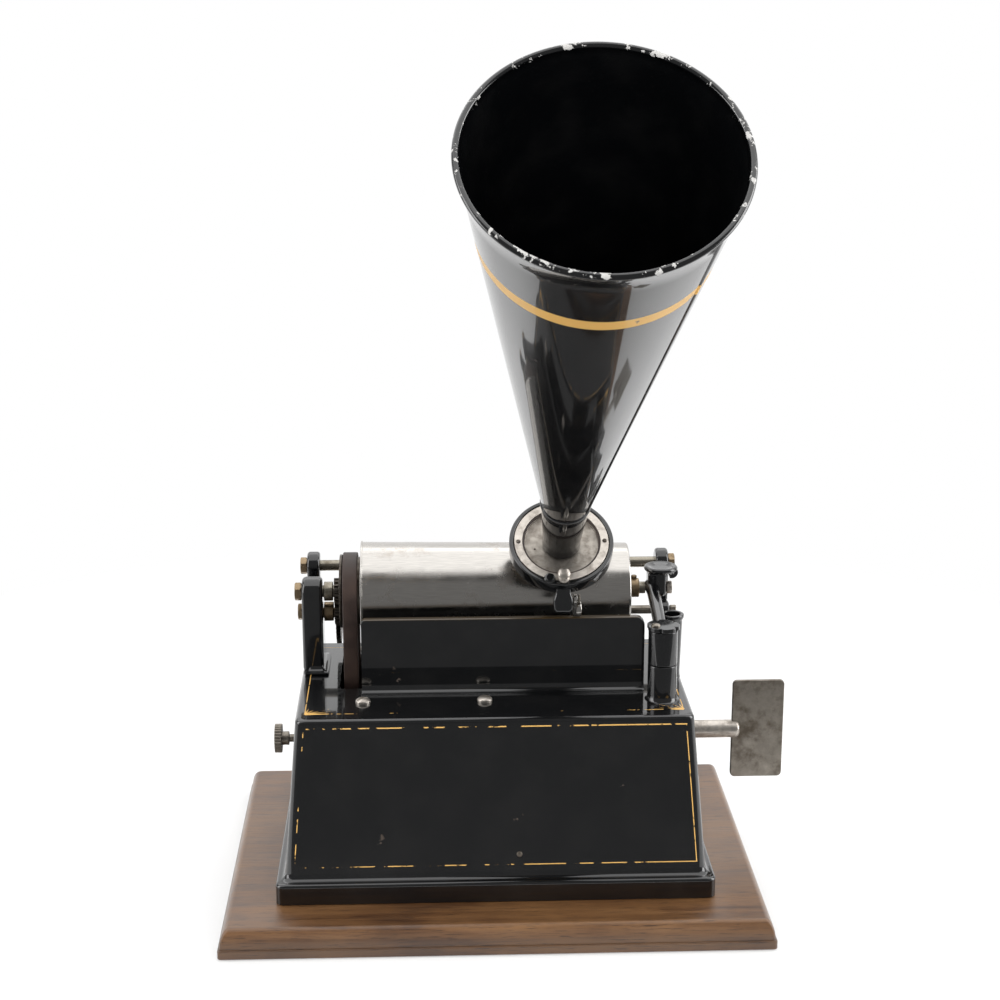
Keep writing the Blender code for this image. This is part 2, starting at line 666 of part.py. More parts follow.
def gear(name, teeth, module, turn, face, x, y, z, bore, material, flank_points=2):
    """A spur gear whose origin lies on its axis, from x to x + face, with its bore."""
    wheel = side_plate(name, gear_outline(teeth, module, turn, flank_points), 0, face, material)
    place(wheel, (x, y, z))
    if bore:
        cut(wheel, drill_x(name + "_bore", y, z, bore, x - OVERRUN, x + face + OVERRUN))
    return wheel


def mesh_turn(teeth, other_teeth, other_turn, direction):
    """Turn of a gear that meshes with another one lying in the given direction from it.

    other_turn is the other gear's own turn, and direction the angle from this gear to it.
    """
    reached = (direction + math.pi - other_turn) / (math.tau / other_teeth)
    part = reached - math.floor(reached)
    return direction - (0.5 - part) * math.tau / teeth


def third_point(a, b, from_a, from_b, side):
    """Point at given distances from a and b, on the left (1) or right (-1) of a to b."""
    ay, az = a
    by, bz = b
    span = math.hypot(by - ay, bz - az)
    along = (from_a ** 2 - from_b ** 2 + span ** 2) / (2 * span)
    off = side * math.sqrt(max(from_a ** 2 - along ** 2, 0))
    uy, uz = (by - ay) / span, (bz - az) / span
    return (ay + uy * along - uz * off, az + uz * along + uy * off)


def direction(a, b):
    return math.atan2(b[1] - a[1], b[0] - a[0])


def hull_loop(a, radius_a, b, radius_b, steps=7):
    """Outline round two circles and their outer tangents, counter-clockwise."""
    span = math.hypot(b[0] - a[0], b[1] - a[1])
    lean = math.degrees(math.acos((radius_a - radius_b) / span))
    heading = math.degrees(direction(a, b))
    first = arc(a[0], a[1], radius_a, heading + lean, heading + 360 - lean, steps)
    second = arc(b[0], b[1], radius_b, heading - lean, heading + lean, steps)
    return first + second


def ring_plate(name, outer, inner, x, thickness, material):
    """A flat closed band between two loops of equal count, from x to x + thickness."""
    right = x + thickness
    rows = [[(side, y, z) for y, z in loop]
            for loop, side in ((outer, x), (outer, right), (inner, right), (inner, x))]
    return loft(name, rows, material, endless=True)


def rod_between(name, start, end, radius, material, steps=SMALL_STEPS):
    """A plain rod from one point to another."""
    start, end = Vector(start), Vector(end)
    rod = turned(name, rod_profile(radius, (end - start).length), material, steps)
    rod.location = start
    rod.rotation_euler = (end - start).to_track_quat("Z", "X").to_euler()
    return rod


# Gear train places in (y, z)
MANDREL_AXIS = (MANDREL_Y, MANDREL_HEIGHT)
FEED_AXIS = (FEED_Y, FEED_HEIGHT)
IDLER_AXIS = third_point(MANDREL_AXIS, FEED_AXIS,
                         (MANDREL_GEAR_TEETH + IDLER_TEETH) * FEED_MODULE / 2,
                         (IDLER_TEETH + FEED_GEAR_TEETH) * FEED_MODULE / 2, -1)
BARREL_AXIS = (KEY_Y, KEY_HEIGHT)
DRIVE_AXIS = (DRIVE_Y, DRIVE_HEIGHT)
SECOND_AXIS = third_point(BARREL_AXIS, DRIVE_AXIS,
                          (GREAT_TEETH + SECOND_PINION_TEETH) * GREAT_MODULE / 2,
                          (SECOND_TEETH + DRIVE_PINION_TEETH) * SECOND_MODULE / 2, 1)
GOVERNOR_DISTANCE = (THIRD_TEETH + GOVERNOR_PINION_TEETH) * GOVERNOR_MODULE / 2
GOVERNOR_AXIS = (DRIVE_Y + GOVERNOR_DISTANCE * math.cos(math.radians(GOVERNOR_TURN)),
                 DRIVE_HEIGHT + GOVERNOR_DISTANCE * math.sin(math.radians(GOVERNOR_TURN)))


def body_half(z):
    """Half width and half depth of the case's tapered body at a height."""
    share = (z - CASE_FLOOR) / CASE_HEIGHT
    width = CASE_FOOT_HALF_WIDTH - CASE_FOOT_FLARE
    depth = CASE_FOOT_HALF_DEPTH - CASE_FOOT_FLARE
    return (width + (CASE_DECK_HALF_WIDTH - width) * share,
            depth + (CASE_DECK_HALF_DEPTH - depth) * share)


# Outer face of the case at the key and at the speed screw
KEY_WALL = body_half(KEY_HEIGHT)[0]
KEY_SHAFT_LEFT = KEY_WALL - KEY_SHAFT_INSIDE
KEY_SHAFT_RIGHT = KEY_WALL + KEY_SHAFT_OUTSIDE
KEY_PLATE_LEFT = KEY_SHAFT_RIGHT - KEY_PLATE_SEAT
SPEED_WALL = body_half(SPEED_HEIGHT)[0]
SPEED_KNOB_LEFT = -SPEED_WALL - SPEED_KNOB_REACH


def wood_screw_places():
    x = CASE_FOOT_HALF_WIDTH - (CASE_WALL + CASE_FOOT_FLARE) / 2
    y = CASE_FOOT_HALF_DEPTH - WOOD_SCREW_INSET - CASE_WALL
    return [(x, y), (-x, y), (-x, -y), (x, -y)]


def deck_screw_places():
    return [(x, y) for x in (LEFT_SCREW_X, RIGHT_SCREW_X) for y in (FRONT_SCREW_Y, BACK_SCREW_Y)]


def build_board(mats):
    loops = []
    levels = [(0, 0), (0, BOARD_STRIP_HEIGHT)]
    rise = BOARD_HEIGHT - BOARD_STRIP_HEIGHT
    steps = 2 * FILLET_STEPS
    for i in range(steps + 1):
        angle = math.radians(90 * i / steps)
        inset = BOARD_GROOVE + (BOARD_TOP_INSET - BOARD_GROOVE) * (1 - math.cos(angle))
        levels.append((inset, BOARD_STRIP_HEIGHT + rise * math.sin(angle)))
    for inset, z in levels:
        loops.append(level_loop(BOARD_WIDTH / 2 - inset, BOARD_DEPTH / 2 - inset, BOARD_CORNER, z))
    board = loft("base_board", loops, mats["oak"])
    for i, (x, y) in enumerate(wood_screw_places()):
        cut(board, drill_z(f"board_hole_{i}", x, y, WOOD_SCREW_RADIUS + GAP,
                           -OVERRUN, BOARD_HEIGHT + OVERRUN))
        cut(board, drill_z(f"board_sink_{i}", x, y, WOOD_SCREW_HEAD_RADIUS + GAP,
                           -OVERRUN, WOOD_SCREW_HEAD + 2 * GAP))
    for i, (x, y) in enumerate(wood_screw_places()):
        length = BOARD_HEIGHT + CASE_FOOT_HEIGHT / 2
        profile = [(0, 0), (WOOD_SCREW_HEAD_RADIUS, 0), (WOOD_SCREW_HEAD_RADIUS, WOOD_SCREW_HEAD),
                   (WOOD_SCREW_RADIUS, WOOD_SCREW_HEAD), (WOOD_SCREW_RADIUS, length), (0, length)]
        screw = turned(f"wood_screw_{i + 1}", profile, mats["steel"], SMALL_STEPS)
        place(screw, (x, y, GAP))


def build_case(mats):
    """Tapered casting: one loft down its inside, under its edge and up its outside."""
    enamel = mats["enamel"]
    loops = []
    for z in (DECK_BOTTOM, CASE_FLOOR):
        half_x, half_y = body_half(z)
        loops.append(level_loop(half_x - CASE_WALL, half_y - CASE_WALL, CASE_CORNER / 2, z))
    foot_top = CASE_FLOOR + CASE_FOOT_HEIGHT
    edge = CASE_FOOT_FLARE / 2
    loops.append(level_loop(CASE_FOOT_HALF_WIDTH, CASE_FOOT_HALF_DEPTH, CASE_CORNER, CASE_FLOOR))
    loops.append(level_loop(CASE_FOOT_HALF_WIDTH, CASE_FOOT_HALF_DEPTH, CASE_CORNER,
                            foot_top - edge))
    flare_top = foot_top + CASE_FOOT_FLARE
    for i in range(FILLET_STEPS + 1):
        angle = math.radians(90 * i / FILLET_STEPS)
        half_x, half_y = body_half(flare_top)
        out_x = CASE_FOOT_HALF_WIDTH - edge - half_x
        out_y = CASE_FOOT_HALF_DEPTH - edge - half_y
        share = 1 - math.sin(angle)
        z = foot_top + CASE_FOOT_FLARE * (1 - math.cos(angle))
        loops.append(level_loop(half_x + out_x * share, half_y + out_y * share, CASE_CORNER, z))
    for i in range(FILLET_STEPS + 1):
        angle = math.radians(90 * i / FILLET_STEPS)
        inset = CASE_EDGE_ROUND * (1 - math.cos(angle))
        z = DECK_TOP - CASE_EDGE_ROUND * (1 - math.sin(angle))
        loops.append(level_loop(CASE_DECK_HALF_WIDTH - inset, CASE_DECK_HALF_DEPTH - inset,
                                CASE_CORNER, z))
    case = loft("case_casting", loops, enamel)

    # Apron: an upright panel with rounded top corners on a filleted foot
    low = DECK_TOP - OVERRUN
    outline = [(APRON_RIGHT, low)]
    outline += arc(APRON_RIGHT - APRON_CORNER, APRON_TOP - APRON_CORNER, APRON_CORNER, 0, 90,
                   FILLET_STEPS)
    outline += arc(APRON_LEFT + APRON_CORNER / 2, APRON_TOP - APRON_CORNER / 2, APRON_CORNER / 2,
                   90, 180, FILLET_STEPS)
    outline.append((APRON_LEFT, low))
    bm = extruded_mesh(outline, APRON_THICKNESS)
    bmesh.ops.rotate(bm, verts=bm.verts, cent=(0, 0, 0), matrix=Matrix.Rotation(math.pi / 2, 3, "X"))
    bmesh.ops.translate(bm, verts=bm.verts, vec=(0, APRON_FRONT + APRON_THICKNESS, 0))
    apron = new_object("apron_panel", bm, enamel)
    foot = [(APRON_FRONT - APRON_FILLET, low)]
    foot += arc(APRON_FRONT - APRON_FILLET, DECK_TOP + APRON_FILLET, APRON_FILLET, -90, 0,
                FILLET_STEPS)
    back = APRON_FRONT + APRON_THICKNESS
    foot += arc(back + APRON_FILLET / 2, DECK_TOP + APRON_FILLET / 2, APRON_FILLET / 2, 180, 270,
                FILLET_STEPS)
    foot.append((back + APRON_FILLET / 2, low))
    fillet = side_plate("apron_foot", foot, APRON_LEFT + OVERRUN / 2,
                        APRON_RIGHT - APRON_LEFT - OVERRUN, enamel)

    # Hinge post with a flared foot, and the slimmer latch post behind it
    flare = [(HINGE_POST_RADIUS + HINGE_FOOT_FLARE, low)]
    flare += [(HINGE_POST_RADIUS + HINGE_FOOT_FLARE * (1 - math.sin(math.radians(angle))),
               DECK_TOP + HINGE_FOOT_FLARE * (1 - math.cos(math.radians(angle))) * 2)
              for angle in (0, 30, 60, 90)]
    profile = [(0, low)] + flare + [(HINGE_POST_RADIUS, HINGE_POST_TOP), (0, HINGE_POST_TOP)]
    post = place(turned("hinge_post_form", profile, enamel), (HINGE_POST_X, HINGE_POST_Y, 0))
    profile = [(0, low), (LATCH_FOOT_RADIUS, low), (LATCH_TOP_RADIUS - LATCH_TOP_RADIUS / 8,
                                                    LATCH_POST_TOP - LATCH_TOP_RADIUS / 2),
               (LATCH_TOP_RADIUS, LATCH_POST_TOP - LATCH_TOP_RADIUS / 4),
               (LATCH_TOP_RADIUS, LATCH_POST_TOP), (LATCH_BORE_RADIUS, LATCH_POST_TOP),
               (LATCH_BORE_RADIUS - GAP, LATCH_POST_TOP - LATCH_BORE_DEPTH),
               (0, LATCH_POST_TOP - LATCH_BORE_DEPTH)]
    latch = place(turned("latch_post_form", profile, enamel), (LATCH_POST_X, LATCH_POST_Y, 0))
    join(case, apron, fillet, post, latch)

    # Openings: belt slot, deck screws, key, speed screw, hinge pin and wood screws
    slot = [((SLOT_LEFT + SLOT_RIGHT) / 2 + x, (SLOT_FRONT + SLOT_BACK) / 2 + y) for x, y in
            rounded_rectangle((SLOT_RIGHT - SLOT_LEFT) / 2, (SLOT_BACK - SLOT_FRONT) / 2,
                              SLOT_CORNER)]
    tool = extruded("belt_slot", slot, DECK_THICKNESS + 2 * OVERRUN, mats["steel"])
    cut(case, place(tool, (0, 0, DECK_BOTTOM - OVERRUN)))
    for i, (x, y) in enumerate(deck_screw_places()):
        cut(case, drill_z(f"deck_hole_{i}", x, y, SCREW_RADIUS + GAP,
                          DECK_BOTTOM - OVERRUN, DECK_TOP + OVERRUN))
    cut(case, drill_x("key_hole", KEY_Y, KEY_HEIGHT, KEY_SHAFT_RADIUS + GAP,
                      KEY_WALL - 2 * CASE_WALL, KEY_WALL + CASE_WALL, ROUND_STEPS))
    cut(case, drill_x("speed_hole", SPEED_Y, SPEED_HEIGHT, SPEED_SHANK_RADIUS + GAP,
                      -SPEED_WALL - CASE_WALL, 2 * CASE_WALL - SPEED_WALL))
    cut(case, drill_z("hinge_pin_hole", HINGE_POST_X, HINGE_POST_Y, GATE_PIN_RADIUS + GAP,
                      HINGE_POST_TOP - GATE_PIN_DEPTH - GAP, HINGE_POST_TOP + OVERRUN))
    for i, (x, y) in enumerate(wood_screw_places()):
        cut(case, drill_z(f"foot_hole_{i}", x, y, WOOD_SCREW_RADIUS + GAP,
                          CASE_FLOOR - OVERRUN, CASE_FLOOR + CASE_FOOT_HEIGHT * 2 / 3))
    return case


def dome_screw(name, head_radius, head_height, shank_radius, shank, material, slotted=True):
    """Round-headed screw with its head's underside at Z = 0 and its shank below."""
    profile = [(0, -shank), (shank_radius, -shank), (shank_radius, 0), (head_radius, 0)]
    for i in range(1, FILLET_STEPS + 1):
        angle = math.radians(90 * i / FILLET_STEPS)
        rise = RIM_SHARE + (1 - RIM_SHARE) * math.sin(angle)
        profile.append((head_radius * math.cos(angle), head_height * rise))
    profile[-1] = (0, head_height)
    screw = turned(name, profile, material, SMALL_STEPS)
    if slotted:
        slot = box(name + "_slot", (-head_radius, -SCREW_SLOT_WIDTH / 2, head_height - SCREW_SLOT_DEPTH),
                   (head_radius, SCREW_SLOT_WIDTH / 2, head_height + OVERRUN), material)
        slot.parent = screw
        cut(screw, slot)
    return screw


def hex_nut(name, radius, length, x, y, z, material):
    outline = [(y + radius * math.cos(math.radians(60 * i + 30)),
                z + radius * math.sin(math.radians(60 * i + 30))) for i in range(6)]
    return side_plate(name, outline, x, length, material)


def build_deck_trim(mats):
    shank = DECK_THICKNESS + 2 * GAP + TAB_THICKNESS
    for i, (x, y) in enumerate(deck_screw_places()):
        screw = dome_screw(f"deck_screw_{i + 1}", SCREW_HEAD_RADIUS, SCREW_HEAD_HEIGHT,
                           SCREW_RADIUS, shank, mats["aged"])
        place(screw, (x, y, DECK_TOP + GAP), (0, 0, math.radians(35 + 70 * i)))
    half = body_half(RIVET_HEIGHT)[1]
    slope = math.atan2(CASE_FOOT_HALF_DEPTH - CASE_FOOT_FLARE - CASE_DECK_HALF_DEPTH, CASE_HEIGHT)
    rivet = dome_screw("front_rivet", RIVET_RADIUS, RIVET_HEAD, RIVET_RADIUS / 2, 0, mats["aged"],
                       slotted=False)
    place(rivet, (RIVET_X, -half - GAP, RIVET_HEIGHT), (math.radians(90) - slope, 0, 0))


def build_bearing_bracket(mats):
    """Left bearing of the mandrel's shaft: an upright web that widens to the back."""
    front = MANDREL_Y - BRACKET_HEAD_RADIUS
    foot = DECK_TOP + GAP
    back = MANDREL_Y + BRACKET_BACK_FOOT
    outline = [(front, foot), (back, foot)]
    outline += arc(MANDREL_Y, MANDREL_HEIGHT, BRACKET_HEAD_RADIUS, 15, 180, 3 * FILLET_STEPS)
    bracket = side_plate("bearing_bracket", outline, BRACKET_OUTER_X, BRACKET_THICKNESS,
                         mats["enamel"])
    step = BRACKET_FOOT_STEP
    flange = box("bracket_flange", (BRACKET_OUTER_X + GAP, front - step, foot),
                 (BRACKET_OUTER_X + BRACKET_THICKNESS + step, back + step,
                  foot + BRACKET_FOOT_HEIGHT), mats["enamel"])
    join(bracket, flange)
    low, high = BRACKET_OUTER_X - OVERRUN, BRACKET_OUTER_X + BRACKET_THICKNESS + OVERRUN
    cut(bracket, drill_x("shaft_bore", *MANDREL_AXIS, SHAFT_RADIUS + GAP, low, high, ROUND_STEPS))
    cut(bracket, drill_x("stud_bore", *IDLER_AXIS, STUD_RADIUS + GAP, low, high))
    nut = hex_nut("bearing_nut", BEARING_NUT_RADIUS, BEARING_NUT_LENGTH,
                  BRACKET_OUTER_X - BEARING_NUT_LENGTH - GAP, *MANDREL_AXIS, mats["brass"])
    join(nut, along_x(turned("nut_pip", rod_profile(SHAFT_RADIUS, GAP + OVERRUN),
                             mats["brass"], SMALL_STEPS),
                      BRACKET_OUTER_X - BEARING_NUT_LENGTH - 3 * GAP, *MANDREL_AXIS))
    # Idler stud: a screw through the bracket whose plain end carries the idler
    stud_end = GEAR_RIGHT
    left = BRACKET_OUTER_X - GAP - STUD_NUT_LENGTH
    stud = hex_nut("idler_stud", STUD_NUT_RADIUS, STUD_NUT_LENGTH, left, *IDLER_AXIS, mats["brass"])
    join(stud, along_x(turned("stud_rod", rod_profile(STUD_RADIUS, stud_end - left - GAP),
                              mats["brass"], SMALL_STEPS), left + GAP, *IDLER_AXIS))
    collar_left = BRACKET_OUTER_X + BRACKET_THICKNESS + GAP
    join(stud, along_x(turned("stud_boss",
                              rod_profile(COLLAR_RADIUS, GEAR_RIGHT - GEAR_FACE - 2 * GAP - collar_left),
                              mats["brass"], SMALL_STEPS), collar_left, *IDLER_AXIS))


def build_standards(mats):
    """The two castings at the back that carry the back rod and the feed screw."""
    eye = (ROD_Y, ROD_HEIGHT)
    foot_radius = STANDARD_LEG_WIDTH / 2
    foot = (ROD_Y, DECK_TOP + GAP + foot_radius)
    nuts = []
    for side, name in ((-1, "left"), (1, "right")):
        inner = side * STANDARD_INNER_X
        low = inner if side > 0 else inner - STANDARD_THICKNESS
        leg = side_plate(f"rod_standard_{name}", hull_loop(eye, STANDARD_EYE_RADIUS, foot, foot_radius),
                         low, STANDARD_THICKNESS, mats["enamel"])
        web_top = (ROD_Y, FEED_HEIGHT)
        web = side_plate(f"feed_boss_{name}",
                         hull_loop(FEED_AXIS, STANDARD_BOSS_RADIUS, web_top, STANDARD_BOSS_RADIUS * 0.8),
                         low + GAP, STANDARD_THICKNESS - 2 * GAP, mats["enamel"])
        step = BRACKET_FOOT_STEP
        base = box(f"standard_flange_{name}",
                   (low - (step if side > 0 else 0), ROD_Y - STANDARD_LEG_WIDTH * 2 / 3,
                   foot[1] - foot_radius),
                   (low + STANDARD_THICKNESS + (step if side < 0 else 0),
                    CASE_DECK_HALF_DEPTH - CASE_EDGE_ROUND, foot[1] - foot_radius + BRACKET_FOOT_HEIGHT),
                   mats["enamel"])
        join(leg, web, base)
        ends = (low - OVERRUN, low + STANDARD_THICKNESS + OVERRUN)
        cut(leg, drill_x(f"rod_bore_{name}", *eye, ROD_RADIUS + GAP, *ends, ROUND_STEPS))
        cut(leg, drill_x(f"pivot_bore_{name}", *FEED_AXIS, PIVOT_RADIUS + GAP, *ends))
        outer = side * (STANDARD_INNER_X + STANDARD_THICKNESS + GAP)
        nut_x = outer if side > 0 else outer - ROD_NUT_LENGTH
        nuts.append(hex_nut(f"nut_{name}", ROD_NUT_RADIUS, ROD_NUT_LENGTH, nut_x, *eye,
                            mats["aged"]))
    reach = STANDARD_INNER_X + STANDARD_THICKNESS
    far = reach + ROD_NUT_LENGTH
    rod = turned("back_rod", rod_profile(ROD_RADIUS, 2 * far, GAP), mats["aged"])
    along_x(rod, -far, *eye)
    join(rod, *nuts)


def build_mandrel(mats):
    """The tapered sleeve drum, its shaft, pulley, gear and end collar."""
    bore = SHAFT_RADIUS + GAP
    right, wall, edge = MANDREL_LENGTH, MANDREL_WALL, MANDREL_END_ROUND
    lip = MANDREL_LEFT_RADIUS + MANDREL_FLANGE / 2
    profile = [(bore, 0), (lip, 0), (lip, MANDREL_FLANGE), (MANDREL_LEFT_RADIUS, MANDREL_FLANGE)]
    for i in range(FILLET_STEPS + 1):
        angle = math.radians(90 * i / FILLET_STEPS)
        profile.append((MANDREL_RIGHT_RADIUS - edge * (1 - math.cos(angle)),
                        right - edge * (1 - math.sin(angle))))
    profile += [(bore, right), (bore, right - MANDREL_WEB),
                (MANDREL_RIGHT_RADIUS - wall, right - MANDREL_WEB),
                (MANDREL_LEFT_RADIUS - wall, MANDREL_WEB), (bore, MANDREL_WEB)]
    along_x(turned("mandrel", profile, mats["nickel"], FINE_STEPS), MANDREL_LEFT, *MANDREL_AXIS)

    gear_left = GEAR_RIGHT - GEAR_FACE
    collar_right = gear_left - 2 * GAP
    collar_left = BRACKET_OUTER_X + BRACKET_THICKNESS + 2 * GAP
    start = SHAFT_LEFT + GAP
    profile = [(0, 0), (SHAFT_RADIUS, 0), (SHAFT_RADIUS, collar_left - start),
               (COLLAR_RADIUS, collar_left - start), (COLLAR_RADIUS, collar_right - start),
               (SHAFT_RADIUS, collar_right - start), (SHAFT_RADIUS, SHAFT_RIGHT - start),
               (CENTRE_DEPTH, SHAFT_RIGHT - start), (0, SHAFT_RIGHT - start - CENTRE_DEPTH)]
    along_x(turned("mandrel_shaft", profile, mats["steel"], FINE_STEPS // 2), start, *MANDREL_AXIS)

    left = GEAR_RIGHT + GAP
    boss = BELT_LEFT - PULLEY_FLANGE - GAP
    rim = PULLEY_RADIUS + PULLEY_FLANGE_HEIGHT
    profile = [(bore, 0), (COLLAR_RADIUS, 0), (COLLAR_RADIUS, boss - left), (rim, boss - left),
               (rim, boss + PULLEY_FLANGE - left), (PULLEY_RADIUS, boss + PULLEY_FLANGE - left),
               (PULLEY_RADIUS, MANDREL_LEFT - GAP - left), (bore, MANDREL_LEFT - GAP - left)]
    along_x(turned("mandrel_pulley", profile, mats["aged"]), left, *MANDREL_AXIS)

    gear("mandrel_gear", MANDREL_GEAR_TEETH, FEED_MODULE, 0.0, GEAR_FACE, gear_left, *MANDREL_AXIS,
         bore, mats["steel"])
    collar = turned("mandrel_collar", tube_profile(bore, COLLAR_RADIUS, COLLAR_LENGTH), mats["aged"])
    collar_x = MANDREL_RIGHT + 3 * GAP
    along_x(collar, collar_x, *MANDREL_AXIS)
    middle = collar_x + COLLAR_LENGTH / 2
    grub = turned("set_screw", rod_profile(SET_SCREW_RADIUS, SET_SCREW_HEAD + SET_SCREW_RADIUS, GAP),
                  mats["aged"], SMALL_STEPS)
    join(collar, place(grub, (middle, MANDREL_Y, MANDREL_HEIGHT + COLLAR_RADIUS - SET_SCREW_RADIUS)))


def build_feed(mats):
    """Idler and feed gear in mesh with the mandrel's gear, and the feed screw."""
    gear_left = GEAR_RIGHT - GEAR_FACE
    idler_turn = mesh_turn(IDLER_TEETH, MANDREL_GEAR_TEETH, 0.0, direction(IDLER_AXIS, MANDREL_AXIS))
    gear("idler_gear", IDLER_TEETH, FEED_MODULE, idler_turn, GEAR_FACE, gear_left, *IDLER_AXIS,
         STUD_RADIUS + GAP, mats["steel"])
    feed_turn = mesh_turn(FEED_GEAR_TEETH, IDLER_TEETH, idler_turn, direction(FEED_AXIS, IDLER_AXIS))
    gear("feed_gear", FEED_GEAR_TEETH, FEED_MODULE, feed_turn, GEAR_FACE, gear_left, *FEED_AXIS,
         FEED_RADIUS + GAP, mats["aged"])
    inner = STANDARD_INNER_X - 2 * GAP
    tip = STANDARD_INNER_X + STANDARD_THICKNESS - 2 * GAP
    core = FEED_RADIUS
    shoulder = FEED_RADIUS * 1.8
    start = -tip
    collar_left = GEAR_RIGHT + GAP
    profile = [(0, 0), (PIVOT_RADIUS, 0), (PIVOT_RADIUS, -inner - start), (core, -inner - start),
               (core, collar_left - start), (shoulder, collar_left - start),
               (shoulder, collar_left + GEAR_FACE - start), (core, collar_left + GEAR_FACE - start),
               (core, inner - start), (PIVOT_RADIUS, inner - start), (PIVOT_RADIUS, tip - start),
               (0, tip - start)]
    along_x(turned("feed_screw", profile, mats["aged"], FINE_STEPS // 2), start, *FEED_AXIS)
    x = STANDARD_INNER_X + STANDARD_THICKNESS + GAP
    pivot = turned("feed_pivot_screw", rod_profile(PIVOT_RADIUS * 2, PIVOT_SCREW_LENGTH, GAP),
                   mats["aged"], SMALL_STEPS)
    along_x(pivot, x, *FEED_AXIS)


def build_belt(mats):
    inner = hull_loop(MANDREL_AXIS, PULLEY_RADIUS + GAP, DRIVE_AXIS, DRIVE_PULLEY_RADIUS + GAP, ROUND_STEPS)
    outer = hull_loop(MANDREL_AXIS, PULLEY_RADIUS + GAP + BELT_THICKNESS, DRIVE_AXIS,
                      DRIVE_PULLEY_RADIUS + GAP + BELT_THICKNESS, ROUND_STEPS)
    ring_plate("drive_belt", outer, inner, BELT_LEFT, BELT_WIDTH, mats["belt"])


